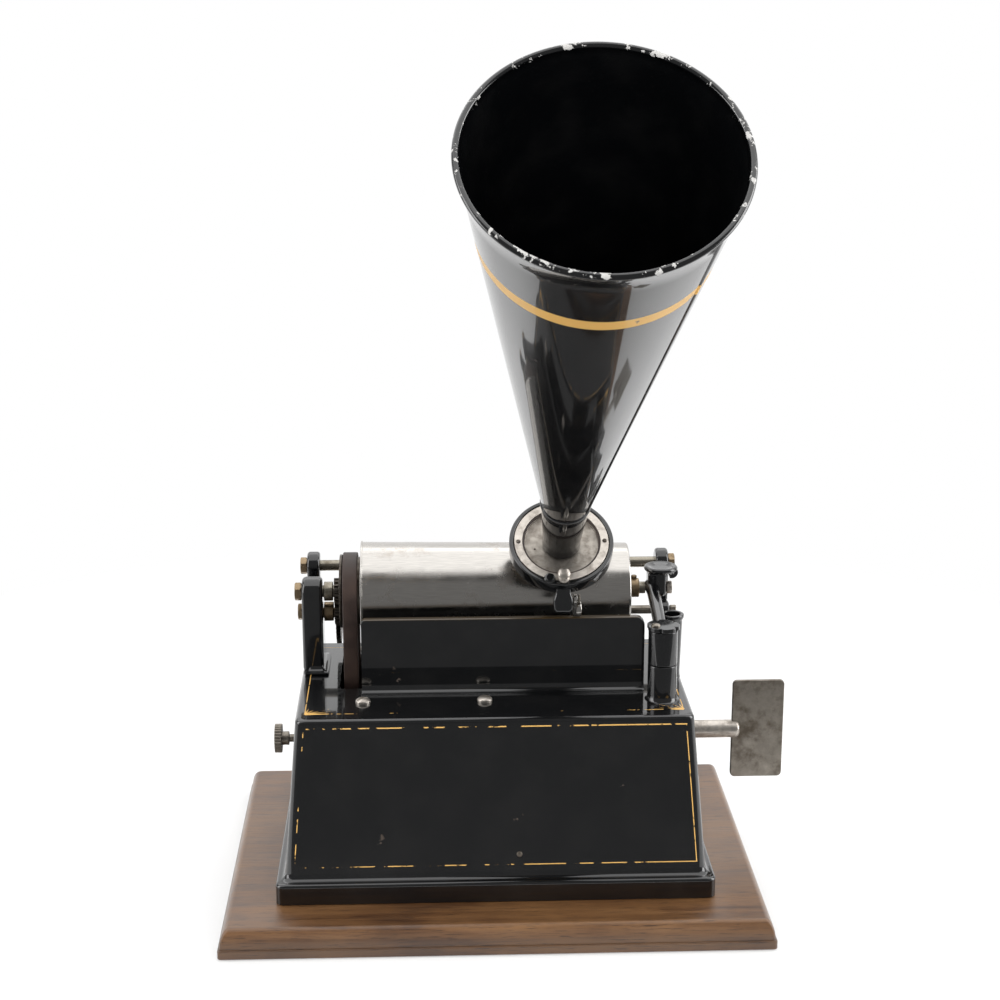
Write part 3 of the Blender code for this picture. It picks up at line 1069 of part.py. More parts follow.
def build_gate(mats):
    """End gate: hub on the hinge post, round arm, bearing block and thumb piece."""
    enamel = mats["enamel"]
    base = HINGE_POST_TOP + GAP
    hub = turned("end_gate", rod_profile(HINGE_POST_RADIUS, GATE_HUB_TOP - base, GAP), enamel)
    place(hub, (HINGE_POST_X, HINGE_POST_Y, base))
    arm_low = GATE_HUB_TOP - GATE_ARM_RADIUS * 1.45
    block_left = SHAFT_RIGHT + 3 * GAP
    block_right = block_left + GATE_BLOCK_WIDTH
    block_x = (block_left + block_right) / 2
    arm = rod_between("gate_arm", (HINGE_POST_X, HINGE_POST_Y + HINGE_POST_RADIUS / 2, arm_low),
                      (HINGE_POST_X, MANDREL_Y, MANDREL_HEIGHT + GATE_ARM_RADIUS / 3),
                      GATE_ARM_RADIUS, enamel, ROUND_STEPS // 2)
    top = MANDREL_HEIGHT + THUMB_RISE
    block = box("gate_block", (block_left, MANDREL_Y - GATE_BLOCK_DEPTH / 2, top - GATE_BLOCK_HEIGHT),
                (block_right, MANDREL_Y + GATE_BLOCK_DEPTH / 2, top), enamel)
    soften = block.modifiers.new("edges", "BEVEL")
    soften.width = GATE_BLOCK_WIDTH / 5
    soften.segments = 1
    profile = [(0, 0), (THUMB_RADIUS - THUMB_THICKNESS / 2, 0), (THUMB_RADIUS, THUMB_THICKNESS / 2),
               (THUMB_RADIUS - THUMB_THICKNESS / 3, THUMB_THICKNESS),
               (THUMB_RADIUS / 2, THUMB_THICKNESS - THUMB_DISH), (0, THUMB_THICKNESS - THUMB_DISH)]
    thumb_x = block_x + THUMB_RADIUS / 4
    thumb = place(turned("thumb_disc", profile, enamel), (thumb_x, MANDREL_Y, top - GAP))
    # Curled lip at the right of the disc
    curl = THUMB_HOOK_LENGTH / 2
    wall = THUMB_THICKNESS * 2 / 3
    lip = arc(0, 0, curl, 90, -110, 10) + arc(0, 0, curl - wall, -110, 90, 10)
    bm = extruded_mesh(lip, THUMB_RADIUS * 2 / 3)
    bmesh.ops.rotate(bm, verts=bm.verts, cent=(0, 0, 0), matrix=Matrix.Rotation(math.pi / 2, 3, "X"))
    hook = new_object("thumb_hook", bm, enamel)
    place(hook, (thumb_x + THUMB_RADIUS - curl, MANDREL_Y + THUMB_RADIUS / 3,
                 top - GAP + THUMB_THICKNESS - curl - GAP))
    join(hub, arm, block, thumb, hook)
    cut(hub, drill_z("gate_pin_bore", HINGE_POST_X, HINGE_POST_Y, GATE_PIN_RADIUS + GAP,
                     base - OVERRUN, GATE_HUB_TOP + OVERRUN))
    cut(hub, drill_x("gate_centre_bore", *MANDREL_AXIS, CENTRE_PIN_RADIUS + GAP,
                     block_left - OVERRUN, block_right + OVERRUN))

    lobes = []
    for i in range(GATE_CAP_LOBES * 8):
        angle = math.tau * i / (GATE_CAP_LOBES * 8)
        swell = abs(math.cos(GATE_CAP_LOBES * angle / 2))
        radius = GATE_CAP_RADIUS - GATE_CAP_NOTCH * (1 - swell) ** 3
        lobes.append((radius * math.cos(angle), radius * math.sin(angle)))
    cap = place(extruded("gate_hinge_cap", lobes, GATE_CAP_THICKNESS, mats["bronze"]),
                (HINGE_POST_X, HINGE_POST_Y, GATE_HUB_TOP + GAP))
    low = HINGE_POST_TOP - GATE_PIN_DEPTH
    pin = turned("gate_pin", rod_profile(GATE_PIN_RADIUS, GATE_HUB_TOP + 2 * GAP - low), mats["bronze"])
    join(cap, place(pin, (HINGE_POST_X, HINGE_POST_Y, low)))
    screw = dome_screw("gate_cap_screw", CAP_SCREW_RADIUS, CAP_SCREW_HEAD, CAP_SCREW_RADIUS / 2, 0,
                       mats["aged"])
    place(screw, (HINGE_POST_X - GATE_CAP_RADIUS / 2, HINGE_POST_Y - GATE_CAP_RADIUS / 3,
                  GATE_HUB_TOP + GATE_CAP_THICKNESS), (0, 0, math.radians(25)))
    join(cap, screw)

    tip = SHAFT_RIGHT - CENTRE_DEPTH + 3 * GAP
    cone = CENTRE_PIN_RADIUS * 0.9
    head = block_right + GAP
    profile = [(0, 0), (cone, cone), (CENTRE_PIN_RADIUS, cone + GAP), (CENTRE_PIN_RADIUS, head - tip),
               (CENTRE_PIN_HEAD_RADIUS, head - tip),
               (CENTRE_PIN_HEAD_RADIUS, head + CENTRE_PIN_HEAD - tip), (0, head + CENTRE_PIN_HEAD - tip)]
    along_x(turned("gate_centre_pin", profile, mats["nickel"], SMALL_STEPS), tip, *MANDREL_AXIS)


def build_carriage(mats):
    """Sleeve on the back rod with the leaf and half nut that ride the feed screw."""
    rod = (ROD_Y, ROD_HEIGHT)
    bore = ROD_RADIUS + GAP
    inner = SLEEVE_LENGTH - SLEEVE_COLLAR_LENGTH
    profile = [(bore, 0), (SLEEVE_COLLAR_RADIUS, 0), (SLEEVE_COLLAR_RADIUS, SLEEVE_COLLAR_LENGTH),
               (SLEEVE_RADIUS, SLEEVE_COLLAR_LENGTH), (SLEEVE_RADIUS, inner),
               (SLEEVE_COLLAR_RADIUS, inner), (SLEEVE_COLLAR_RADIUS, SLEEVE_LENGTH),
               (bore, SLEEVE_LENGTH)]
    along_x(turned("carriage_sleeve", profile, mats["aged"]), EYE_X - SLEEVE_LENGTH / 2, *rod)

    left = EYE_X + ARM_HUB_LENGTH / 2 + 2 * GAP
    heading = direction(FEED_AXIS, rod)
    span = math.hypot(rod[0] - FEED_AXIS[0], rod[1] - FEED_AXIS[1])
    half = FEED_ARM_THICKNESS / 2
    nut_radius = FEED_RADIUS + GAP
    leaf = []
    for along, off in ((nut_radius + FEED_NUT_WALL / 2, half), (nut_radius + FEED_NUT_WALL / 2, -half),
                       (span - SLEEVE_RADIUS - 3 * GAP, -half), (span - SLEEVE_RADIUS - 3 * GAP, half)):
        leaf.append((along * math.cos(heading) - off * math.sin(heading),
                     along * math.sin(heading) + off * math.cos(heading)))
    arm = place(side_plate("feed_arm", leaf, 0, FEED_ARM_WIDTH, mats["aged"]), (left, *FEED_AXIS))
    clamp = along_x(turned("feed_clamp", tube_profile(SLEEVE_RADIUS + GAP, SLEEVE_COLLAR_RADIUS,
                                                      FEED_ARM_WIDTH), mats["aged"]), left, *rod)
    facing = math.degrees(heading)
    shell = arc(*FEED_AXIS, nut_radius + FEED_NUT_WALL, facing - 70, facing + 70, 10)
    shell += arc(*FEED_AXIS, nut_radius, facing + 70, facing - 70, 10)
    nut = side_plate("feed_nut", shell, left + FEED_ARM_WIDTH / 2 - FEED_NUT_LENGTH / 2,
                     FEED_NUT_LENGTH, mats["aged"])
    join(arm, clamp, nut)


def build_carrier(mats):
    """Hub, curved arm, eye and front lug of the carrier arm in one casting."""
    enamel = mats["enamel"]
    rod = (ROD_Y, ROD_HEIGHT)
    arm = along_x(turned("carrier_arm", rod_profile(ARM_HUB_RADIUS, ARM_HUB_LENGTH, GAP), enamel),
                  EYE_X - ARM_HUB_LENGTH / 2, *rod)
    start = math.degrees(direction(MANDREL_AXIS, rod))
    reach = math.asin((EYE_RADIUS - EYE_WALL / 2) / ARM_HEAD_DISTANCE)
    end = 180 - EYE_TILT - math.degrees(reach)
    inner, outer = [], []
    steps = 3 * FILLET_STEPS
    for i in range(steps + 1):
        share = i / steps
        angle = math.radians(start + (end - start) * share)
        middle = ARM_ROOT_DISTANCE + (ARM_HEAD_DISTANCE - ARM_ROOT_DISTANCE) * share
        for loop, distance in ((inner, middle - ARM_THICKNESS / 2),
                               (outer, middle + ARM_THICKNESS / 2)):
            loop.append((MANDREL_Y + distance * math.cos(angle),
                         MANDREL_HEIGHT + distance * math.sin(angle)))
    bar = side_plate("arm_bar", outer + inner[::-1], EYE_X - ARM_WIDTH / 2, ARM_WIDTH, enamel)
    eye = tilted(turned("eye_disc", rod_profile(EYE_RADIUS, EYE_THICKNESS, GAP), enamel, FINE_STEPS),
                 -EYE_THICKNESS)
    lug_top = EYE_CENTRE.z - EYE_UP.z * EYE_RADIUS - EYE_WALL
    lug = box("front_lug", (EYE_X - LUG_WIDTH / 2, LUG_Y - LUG_DEPTH / 2, LUG_BOTTOM),
              (EYE_X + LUG_WIDTH / 2, LUG_Y + LUG_DEPTH / 2, lug_top), enamel)
    lug_right = EYE_X + LUG_WIDTH / 2
    head = lug_right + LEVER_THICKNESS + 2 * GAP - EYE_X
    profile = [(0, 0), (LEVER_PIN_RADIUS, 0), (LEVER_PIN_RADIUS, head), (LEVER_HUB_RADIUS, head),
               (LEVER_HUB_RADIUS, head + LEVER_PIN_RADIUS), (0, head + LEVER_PIN_RADIUS)]
    pin = along_x(turned("lever_pin", profile, enamel, SMALL_STEPS), EYE_X, *lever_pivot())
    join(arm, bar, eye, lug, pin)
    cut(arm, drill_x("sleeve_bore", *rod, SLEEVE_RADIUS + GAP, EYE_X - ARM_HUB_LENGTH,
                     EYE_X + ARM_HUB_LENGTH, ROUND_STEPS))
    seat = -BODY_BOTTOM - GAP
    wide = EYE_RADIUS - EYE_WALL
    low = -EYE_THICKNESS - OVERRUN
    profile = [(0, low), (wide - EYE_LEDGE, low), (wide - EYE_LEDGE, seat), (wide, seat),
               (wide, OVERRUN), (0, OVERRUN)]
    cut(arm, tilted(turned("eye_bore", profile, enamel, FINE_STEPS), 0))


def lever_pivot():
    """(y, z) of the lift lever's pin: its lobe rests just above the apron's top edge."""
    return (LUG_Y + LUG_DEPTH / 4, APRON_TOP + GAP + LEVER_LOBE_RADIUS + LEVER_RISE)


def build_lever(mats):
    y, z = lever_pivot()
    left = EYE_X + LUG_WIDTH / 2 + GAP
    lobe = (LEVER_BACK, -LEVER_RISE)
    lever = side_plate("lift_lever", hull_loop((0, 0), LEVER_HUB_RADIUS, lobe, LEVER_LOBE_RADIUS), 0,
                       LEVER_THICKNESS, mats["aged"])
    place(lever, (left, y, z))
    roller = turned("lever_lobe", rod_profile(LEVER_LOBE_RADIUS, LEVER_LOBE_LENGTH, GAP), mats["aged"])
    join(lever, along_x(roller, left, y + lobe[0], z + lobe[1]))
    cut(lever, drill_x("lever_bore", y, z, LEVER_PIN_RADIUS + GAP, left - OVERRUN,
                       left + LEVER_LOBE_LENGTH + OVERRUN))


def build_reproducer(mats):
    """Sound box in the eye: body with its throat, ring, diaphragm and floating weight."""
    throat_top = THROAT_HEIGHT - BODY_TOP
    plate_low = -BODY_TOP - BODY_PLATE
    chamber = DIAPHRAGM_RADIUS + GAP
    rim = -RING_THICKNESS - GAP
    groove = RING_INNER_RADIUS - BODY_SKIRT
    profile = [(THROAT_BORE, throat_top), (THROAT_BORE, plate_low), (chamber, plate_low),
               (chamber, -BODY_BOTTOM), (BODY_RADIUS, -BODY_BOTTOM), (BODY_RADIUS, rim),
               (groove, rim), (groove, -BODY_TOP), (THROAT_RADIUS, -BODY_TOP),
               (THROAT_RADIUS, throat_top)]
    body = tilted(turned("reproducer_body", profile, mats["aged"]), 0)
    tail = WEIGHT_TAIL_WIDTH / 2 + GAP
    low, high = WEIGHT_PIN_UP - WEIGHT_BOSS_RADIUS, WEIGHT_PIN_UP + WEIGHT_BOSS_RADIUS
    deep = -WEIGHT_PIN_DEPTH - WEIGHT_BOSS_RADIUS
    for side in (-1, 1):
        near, far = sorted((side * tail, side * (tail + WEIGHT_EAR)))
        ear = box(f"weight_ear_{side}", (near, low, deep), (far, high, -BODY_BOTTOM + 2 * GAP),
                  mats["aged"])
        join(body, tilted(ear, 0))
    reach = tail + WEIGHT_EAR / 2
    pin_middle = EYE_CENTRE - EYE_AXIS * WEIGHT_PIN_DEPTH + EYE_UP * WEIGHT_PIN_UP
    pin = turned("weight_pin", rod_profile(WEIGHT_PIN_RADIUS, 2 * reach), mats["aged"], SMALL_STEPS)
    join(body, along_x(pin, EYE_X - reach, pin_middle.y, pin_middle.z))

    ring = turned("retaining_ring", tube_profile(RING_INNER_RADIUS, BODY_RADIUS, RING_THICKNESS),
                  mats["nickel"], FINE_STEPS)
    tilted(ring, -RING_THICKNESS)
    middle = (RING_INNER_RADIUS + BODY_RADIUS) / 2
    for side in (-1, 1):
        screw = dome_screw(f"ring_screw_{side}", RING_SCREW_RADIUS, RING_SCREW_RADIUS / 2,
                           RING_SCREW_RADIUS / 2, RING_THICKNESS / 2, mats["nickel"], slotted=False)
        join(ring, tilted(screw, 0, side * middle))

    bell_shares = [(0, 0), (1, 0), (1, 0.15), (0.62, 0.32), (0.5, 0.75), (0.62, 0.88), (0.45, 1),
                   (0, 1)]
    post = turned("stop_post", [(POST_RADIUS * a, POST_HEIGHT * b) for a, b in bell_shares],
                  mats["nickel"])
    tilted(post, GAP, 0, -middle - BODY_SKIRT)

    link_low = -WEIGHT_TOP + GAP
    top = plate_low - GAP
    low_face = top - DIAPHRAGM_THICKNESS
    profile = [(0, link_low), (STYLUS_BAR_RADIUS, link_low), (STYLUS_BAR_RADIUS, low_face),
               (DIAPHRAGM_RADIUS, low_face), (DIAPHRAGM_RADIUS, top), (0, top)]
    tilted(turned("diaphragm", profile, mats["mica"]), 0)

    # The weight swings on the pin at its back; the stylus bar is fixed under it
    weight = turned("floating_weight", rod_profile(WEIGHT_RADIUS, WEIGHT_THICKNESS, GAP), mats["brass"])
    tilted(weight, -WEIGHT_TOP - WEIGHT_THICKNESS)
    half = WEIGHT_TAIL_WIDTH / 2
    tongue = box("weight_tail", (-half, WEIGHT_RADIUS * 0.8, -WEIGHT_TOP - WEIGHT_THICKNESS + GAP),
                 (half, WEIGHT_PIN_UP, -WEIGHT_TOP - GAP), mats["brass"])
    boss = turned("weight_boss", rod_profile(WEIGHT_BOSS_RADIUS, WEIGHT_TAIL_WIDTH - GAP),
                  mats["brass"], SMALL_STEPS)
    along_x(boss, EYE_X - half + GAP / 2, pin_middle.y, pin_middle.z)
    under = -WEIGHT_TOP - WEIGHT_THICKNESS
    bar = rod_between("stylus_bar", EYE_CENTRE + EYE_AXIS * (under + GAP / 2),
                      EYE_CENTRE + EYE_AXIS * (under - STYLUS_BAR_RADIUS) - EYE_UP * STYLUS_BAR_LENGTH,
                      STYLUS_BAR_RADIUS, mats["steel"])
    tip = turned("stylus_tip", [(0, 0), (STYLUS_BAR_RADIUS / 3, 0),
                                (STYLUS_BAR_RADIUS, STYLUS_TIP_LENGTH), (0, STYLUS_TIP_LENGTH)],
                 mats["steel"], SMALL_STEPS)
    tilted(tip, under + GAP / 2 - STYLUS_TIP_LENGTH, 0, -STYLUS_BAR_LENGTH * 0.9)
    join(weight, tilted(tongue, 0), boss, bar, tip)
    cut(weight, drill_x("tail_bore", pin_middle.y, pin_middle.z, WEIGHT_PIN_RADIUS + GAP,
                        EYE_X - 2 * half, EYE_X + 2 * half))


def circle_row(centre, upward, radius, steps=ROUND_STEPS):
    """Circle of points about a centre, in the plane of the world's X and an upward vector."""
    across = Vector((1, 0, 0))
    return [centre + across * (radius * math.cos(math.tau * i / steps))
            + upward * (radius * math.sin(math.tau * i / steps)) for i in range(steps)]


def build_horn(mats):
    """Swivel collar over the throat, and the straight conical horn that it carries."""
    slope = math.tan(math.radians(HORN_HALF_ANGLE))
    horn_up = Vector((0, math.sin(math.radians(HORN_TILT)), math.cos(math.radians(HORN_TILT))))
    low = -BODY_TOP + 2 * GAP
    high = THROAT_HEIGHT - BODY_TOP + GAP
    socket = THROAT_RADIUS + GAP
    neck = socket + COLLAR_WALL
    shoulder = HORN_SHOULDER * slope
    grow = (shoulder - COLLAR_FOOT_RADIUS) / (HORN_SHOULDER - HORN_START)
    bead = 2 * COLLAR_BEAD

    def eye_row(along, radius):
        return circle_row(EYE_CENTRE + EYE_AXIS * along, EYE_UP, radius)

    def horn_row(distance, extra=0):
        radius = COLLAR_FOOT_RADIUS + grow * (distance - HORN_START) + extra
        return circle_row(HORN_APEX + HORN_AXIS * distance, horn_up, radius)

    rows = [eye_row(low, neck), eye_row(high, neck), horn_row(HORN_START),
            horn_row(HORN_SHOULDER - 2 * bead), horn_row(HORN_SHOULDER - 1.5 * bead, COLLAR_BEAD),
            horn_row(HORN_SHOULDER - bead / 2, COLLAR_BEAD), horn_row(HORN_SHOULDER),
            horn_row(HORN_SHOULDER, -COLLAR_WALL), horn_row(HORN_START, -COLLAR_WALL),
            eye_row(high, socket), eye_row(low, socket)]
    loft("horn_collar", rows, mats["enamel"], endless=True)

    start = HORN_SHOULDER + GAP
    length = HORN_MOUTH - start
    mouth = HORN_MOUTH * slope
    wall = HORN_WALL / math.cos(math.radians(HORN_HALF_ANGLE))
    profile = [(start * slope, 0)]
    profile += arc(mouth, length - HORN_RIM_WIRE, HORN_RIM_WIRE, -110, 150, 9)
    profile.append((start * slope - wall, 0))
    horn = turned("horn", profile, mats["enamel"], FINE_STEPS)
    place(horn, HORN_APEX + HORN_AXIS * start, (math.radians(90 - HORN_TILT), 0, 0))


def build_key(mats):
    """Winding key on the spring's arbor, and the ratchet that holds the arbor."""
    length = KEY_SHAFT_RIGHT - KEY_SHAFT_LEFT
    edge = KEY_SHAFT_RADIUS / 2
    socket = ARBOR_RADIUS + GAP
    profile = [(0, KEY_SOCKET_DEPTH), (socket, KEY_SOCKET_DEPTH), (socket, 0), (KEY_SHAFT_RADIUS, 0)]
    for i in range(FILLET_STEPS + 1):
        angle = math.radians(90 * i / FILLET_STEPS)
        profile.append((KEY_SHAFT_RADIUS - edge * (1 - math.cos(angle)),
                        length - edge * (1 - math.sin(angle))))
    profile.append((0, length))
    key = along_x(turned("winding_key", profile, mats["aged"]), KEY_SHAFT_LEFT, KEY_Y, KEY_HEIGHT)
    middle = KEY_PLATE_LEFT + KEY_PLATE_WIDTH / 2
    bm = extruded_mesh(rounded_rectangle(KEY_PLATE_WIDTH / 2, KEY_PLATE_HEIGHT / 2, KEY_PLATE_CORNER),
                       KEY_PLATE_THICKNESS)
    plate = new_object("key_plate", bm, mats["aged"])
    place(plate, (middle, KEY_Y + KEY_PLATE_THICKNESS / 2, KEY_HEIGHT), (math.radians(90), 0, 0))
    join(key, plate)

    left = LEFT_PLATE_X - PIVOT_END
    right = KEY_SHAFT_LEFT + KEY_SOCKET_DEPTH - 2 * ARBOR_RADIUS / 3
    arbor = turned("winding_arbor", rod_profile(ARBOR_RADIUS, right - left, GAP), mats["steel"])
    along_x(arbor, left, *BARREL_AXIS)

    teeth = []
    for i in range(RATCHET_TEETH):
        angle = math.tau * i / RATCHET_TEETH
        for radius in (RATCHET_RADIUS - RATCHET_TOOTH, RATCHET_RADIUS):
            teeth.append((radius * math.cos(angle), radius * math.sin(angle)))
    ratchet_x = RIGHT_PLATE_X + PLATE_THICKNESS + 2 * GAP
    wheel = side_plate("ratchet_wheel", teeth, 0, RATCHET_THICKNESS, mats["steel"])
    place(wheel, (ratchet_x, *BARREL_AXIS))
    cut(wheel, drill_x("ratchet_bore", *BARREL_AXIS, ARBOR_RADIUS + GAP, ratchet_x - OVERRUN,
                       ratchet_x + RATCHET_THICKNESS + OVERRUN))
    pivot_y, pivot_z = pawl_pivot()
    away = RATCHET_RADIUS + PAWL_WIDTH / 2
    tip = (KEY_Y - away * math.cos(math.radians(30)), KEY_HEIGHT + away * math.sin(math.radians(30)))
    pawl = side_plate("click_pawl", hull_loop((pivot_y, pivot_z), PAWL_WIDTH, tip, PAWL_WIDTH / 4),
                      ratchet_x, RATCHET_THICKNESS, mats["steel"])
    stud_left = RIGHT_PLATE_X - 2 * GAP
    stud = turned("pawl_stud", rod_profile(PAWL_STUD_RADIUS, ratchet_x + RATCHET_THICKNESS
                                           + PAWL_STUD_RADIUS - stud_left), mats["steel"], SMALL_STEPS)
    join(pawl, along_x(stud, stud_left, pivot_y, pivot_z))


def pawl_pivot():
    return (KEY_Y - 2 * RATCHET_RADIUS, KEY_HEIGHT + RATCHET_RADIUS / 3)


def build_speed(mats):
    """Speed screw through the case's left wall and the brake lever that it presses."""
    shank = SPEED_TIP - SPEED_KNOB_LEFT
    neck_end = (SPEED_KNOB_THICKNESS * 2 + GAP)
    profile = [(0, 0), (SPEED_NECK_RADIUS, 0), (SPEED_NECK_RADIUS, neck_end),
               (SPEED_SHANK_RADIUS, neck_end), (SPEED_SHANK_RADIUS, shank), (0, shank)]
    screw = along_x(turned("speed_screw", profile, mats["aged"], SMALL_STEPS), SPEED_KNOB_LEFT,
                    SPEED_Y, SPEED_HEIGHT)
    ring = []
    for i in range(KNURLS * 2):
        radius = SPEED_KNOB_RADIUS - (KNURL_DEPTH if i % 2 else 0)
        angle = math.pi * i / KNURLS
        ring.append((SPEED_Y + radius * math.cos(angle), SPEED_HEIGHT + radius * math.sin(angle)))
    join(screw, side_plate("speed_knob", ring, SPEED_KNOB_LEFT + GAP, SPEED_KNOB_THICKNESS,
                           mats["aged"]))

    left = SPEED_TIP + BRAKE_TIP_GAP
    right = left + BRAKE_THICKNESS
    middle = (left + right) / 2
    front, back = SPEED_Y - BRAKE_WIDTH / 2, SPEED_Y + BRAKE_WIDTH / 2
    pin_length = BRAKE_WIDTH + 2 * (BRAKE_EAR + GAP)
    pin = turned("brake_lever", rod_profile(BRAKE_PIN_RADIUS, pin_length), mats["steel"], SMALL_STEPS)
    place(pin, (middle, SPEED_Y + pin_length / 2, BRAKE_PIVOT_HEIGHT), (math.radians(90), 0, 0))
    bar = box("brake_bar", (left, front, BRAKE_FOOT_LOW + GAP),
              (right, back, BRAKE_PIVOT_HEIGHT + BRAKE_WIDTH / 2), mats["steel"])
    foot = box("brake_foot", (left + GAP, front + GAP, BRAKE_FOOT_LOW),
               (GOVERNOR_DISC_X - GAP, BRAKE_FOOT_BACK, BRAKE_FOOT_HIGH), mats["steel"])
    join(pin, bar, foot)


def build_plates(mats):
    """The two motor plates, hung from the deck, and the pillars between them."""
    steel = mats["steel"]
    y_middle, z_middle = (PLATE_FRONT + PLATE_BACK) / 2, (PLATE_BOTTOM + PLATE_TOP) / 2
    outline = [(y + y_middle, z + z_middle) for y, z in
               rounded_rectangle((PLATE_BACK - PLATE_FRONT) / 2, (PLATE_TOP - PLATE_BOTTOM) / 2,
                                 PLATE_CORNER)]
    tab_top = DECK_BOTTOM - GAP
    front, low = PLATE_FRONT + PILLAR_INSET, PLATE_BOTTOM + PILLAR_INSET
    corners = [(front, low), (front, PLATE_TOP - PILLAR_INSET), (PLATE_BACK - PILLAR_INSET, low)]
    plates = []
    for x, side, screw_x, name in ((LEFT_PLATE_X, -1, LEFT_SCREW_X, "left"),
                                   (RIGHT_PLATE_X, 1, RIGHT_SCREW_X, "right")):
        plate = side_plate(f"motor_plate_{name}", outline, x, PLATE_THICKNESS, steel)
        plates.append(plate)
        far = x - TAB_LENGTH if side < 0 else x + PLATE_THICKNESS + TAB_LENGTH
        near = x + PLATE_THICKNESS - GAP / 2 if side < 0 else x + GAP / 2
        for y in (FRONT_SCREW_Y, BACK_SCREW_Y):
            half = TAB_WIDTH / 2
            riser = box(f"riser_{name}_{y}", (x + GAP / 2, y - half + GAP, PLATE_TOP - half),
                        (x + PLATE_THICKNESS - GAP / 2, y + half - GAP, tab_top - GAP / 2), steel)
            tab = box(f"tab_{name}_{y}", (min(far, near), y - TAB_WIDTH / 2, tab_top - TAB_THICKNESS),
                      (max(far, near), y + TAB_WIDTH / 2, tab_top), steel)
            join(plate, riser, tab)
            cut(plate, drill_z(f"tab_hole_{name}_{y}", screw_x, y, SCREW_RADIUS + GAP,
                               tab_top - TAB_THICKNESS - OVERRUN, tab_top + OVERRUN))
        ends = (x - OVERRUN, x + PLATE_THICKNESS + OVERRUN)
        for i, (y, z) in enumerate(corners):
            cut(plate, drill_x(f"pillar_hole_{name}_{i}", y, z, PILLAR_SPIGOT + GAP, *ends))
        cut(plate, drill_x(f"arbor_hole_{name}", *BARREL_AXIS, ARBOR_RADIUS + GAP, *ends))
        drive_radius = TRAIN_ARBOR_RADIUS if side < 0 else PIVOT_RADIUS
        for label, axis, radius in (("second", SECOND_AXIS, PIVOT_RADIUS),
                                    ("drive", DRIVE_AXIS, drive_radius),
                                    ("governor", GOVERNOR_AXIS, PIVOT_RADIUS)):
            cut(plate, drill_x(f"{label}_hole_{name}", *axis, radius + GAP, *ends))
    left_plate, right_plate = plates
    cut(left_plate, drill_x("speed_pass", SPEED_Y, SPEED_HEIGHT, SPEED_SHANK_RADIUS + GAP,
                            LEFT_PLATE_X - OVERRUN, LEFT_PLATE_X + PLATE_THICKNESS + OVERRUN))
    cut(right_plate, drill_x("pawl_hole", *pawl_pivot(), PAWL_STUD_RADIUS + GAP,
                             RIGHT_PLATE_X - OVERRUN, RIGHT_PLATE_X + PLATE_THICKNESS + OVERRUN))
    brake_x = SPEED_TIP + BRAKE_TIP_GAP + BRAKE_THICKNESS / 2
    near = BRAKE_WIDTH / 2 + GAP
    for side in (-1, 1):
        low, high = sorted((SPEED_Y + side * near, SPEED_Y + side * (near + BRAKE_EAR)))
        ear = box(f"brake_ear_{side}", (LEFT_PLATE_X + GAP, low, BRAKE_PIVOT_HEIGHT - BRAKE_WIDTH / 2),
                  (brake_x + BRAKE_WIDTH / 2, high, BRAKE_PIVOT_HEIGHT + BRAKE_WIDTH / 2), steel)
        join(left_plate, ear)
    bore_length = 2 * (near + BRAKE_EAR + OVERRUN)
    bore = turned("brake_pin_bore", rod_profile(BRAKE_PIN_RADIUS + GAP, bore_length), steel,
                  SMALL_STEPS)
    place(bore, (brake_x, SPEED_Y + bore_length / 2, BRAKE_PIVOT_HEIGHT), (math.radians(90), 0, 0))
    cut(left_plate, bore)

    left_face, right_face = LEFT_PLATE_X, RIGHT_PLATE_X + PLATE_THICKNESS
    inner_left, inner_right = left_face + PLATE_THICKNESS + GAP, right_face - PLATE_THICKNESS - GAP
    start = left_face - GAP - PILLAR_HEAD
    steps = [(0, start), (PILLAR_HEAD_RADIUS, start), (PILLAR_HEAD_RADIUS, left_face - GAP),
             (PILLAR_SPIGOT, left_face - GAP), (PILLAR_SPIGOT, inner_left),
             (PILLAR_RADIUS, inner_left), (PILLAR_RADIUS, inner_right), (PILLAR_SPIGOT, inner_right),
             (PILLAR_SPIGOT, right_face + GAP), (PILLAR_HEAD_RADIUS, right_face + GAP),
             (PILLAR_HEAD_RADIUS, right_face + GAP + PILLAR_HEAD), (0, right_face + GAP + PILLAR_HEAD)]
    profile = [(radius, x - start) for radius, x in steps]
    for i, (y, z) in enumerate(corners):
        along_x(turned(f"motor_pillar_{i + 1}", profile, steel, SMALL_STEPS), start, y, z)


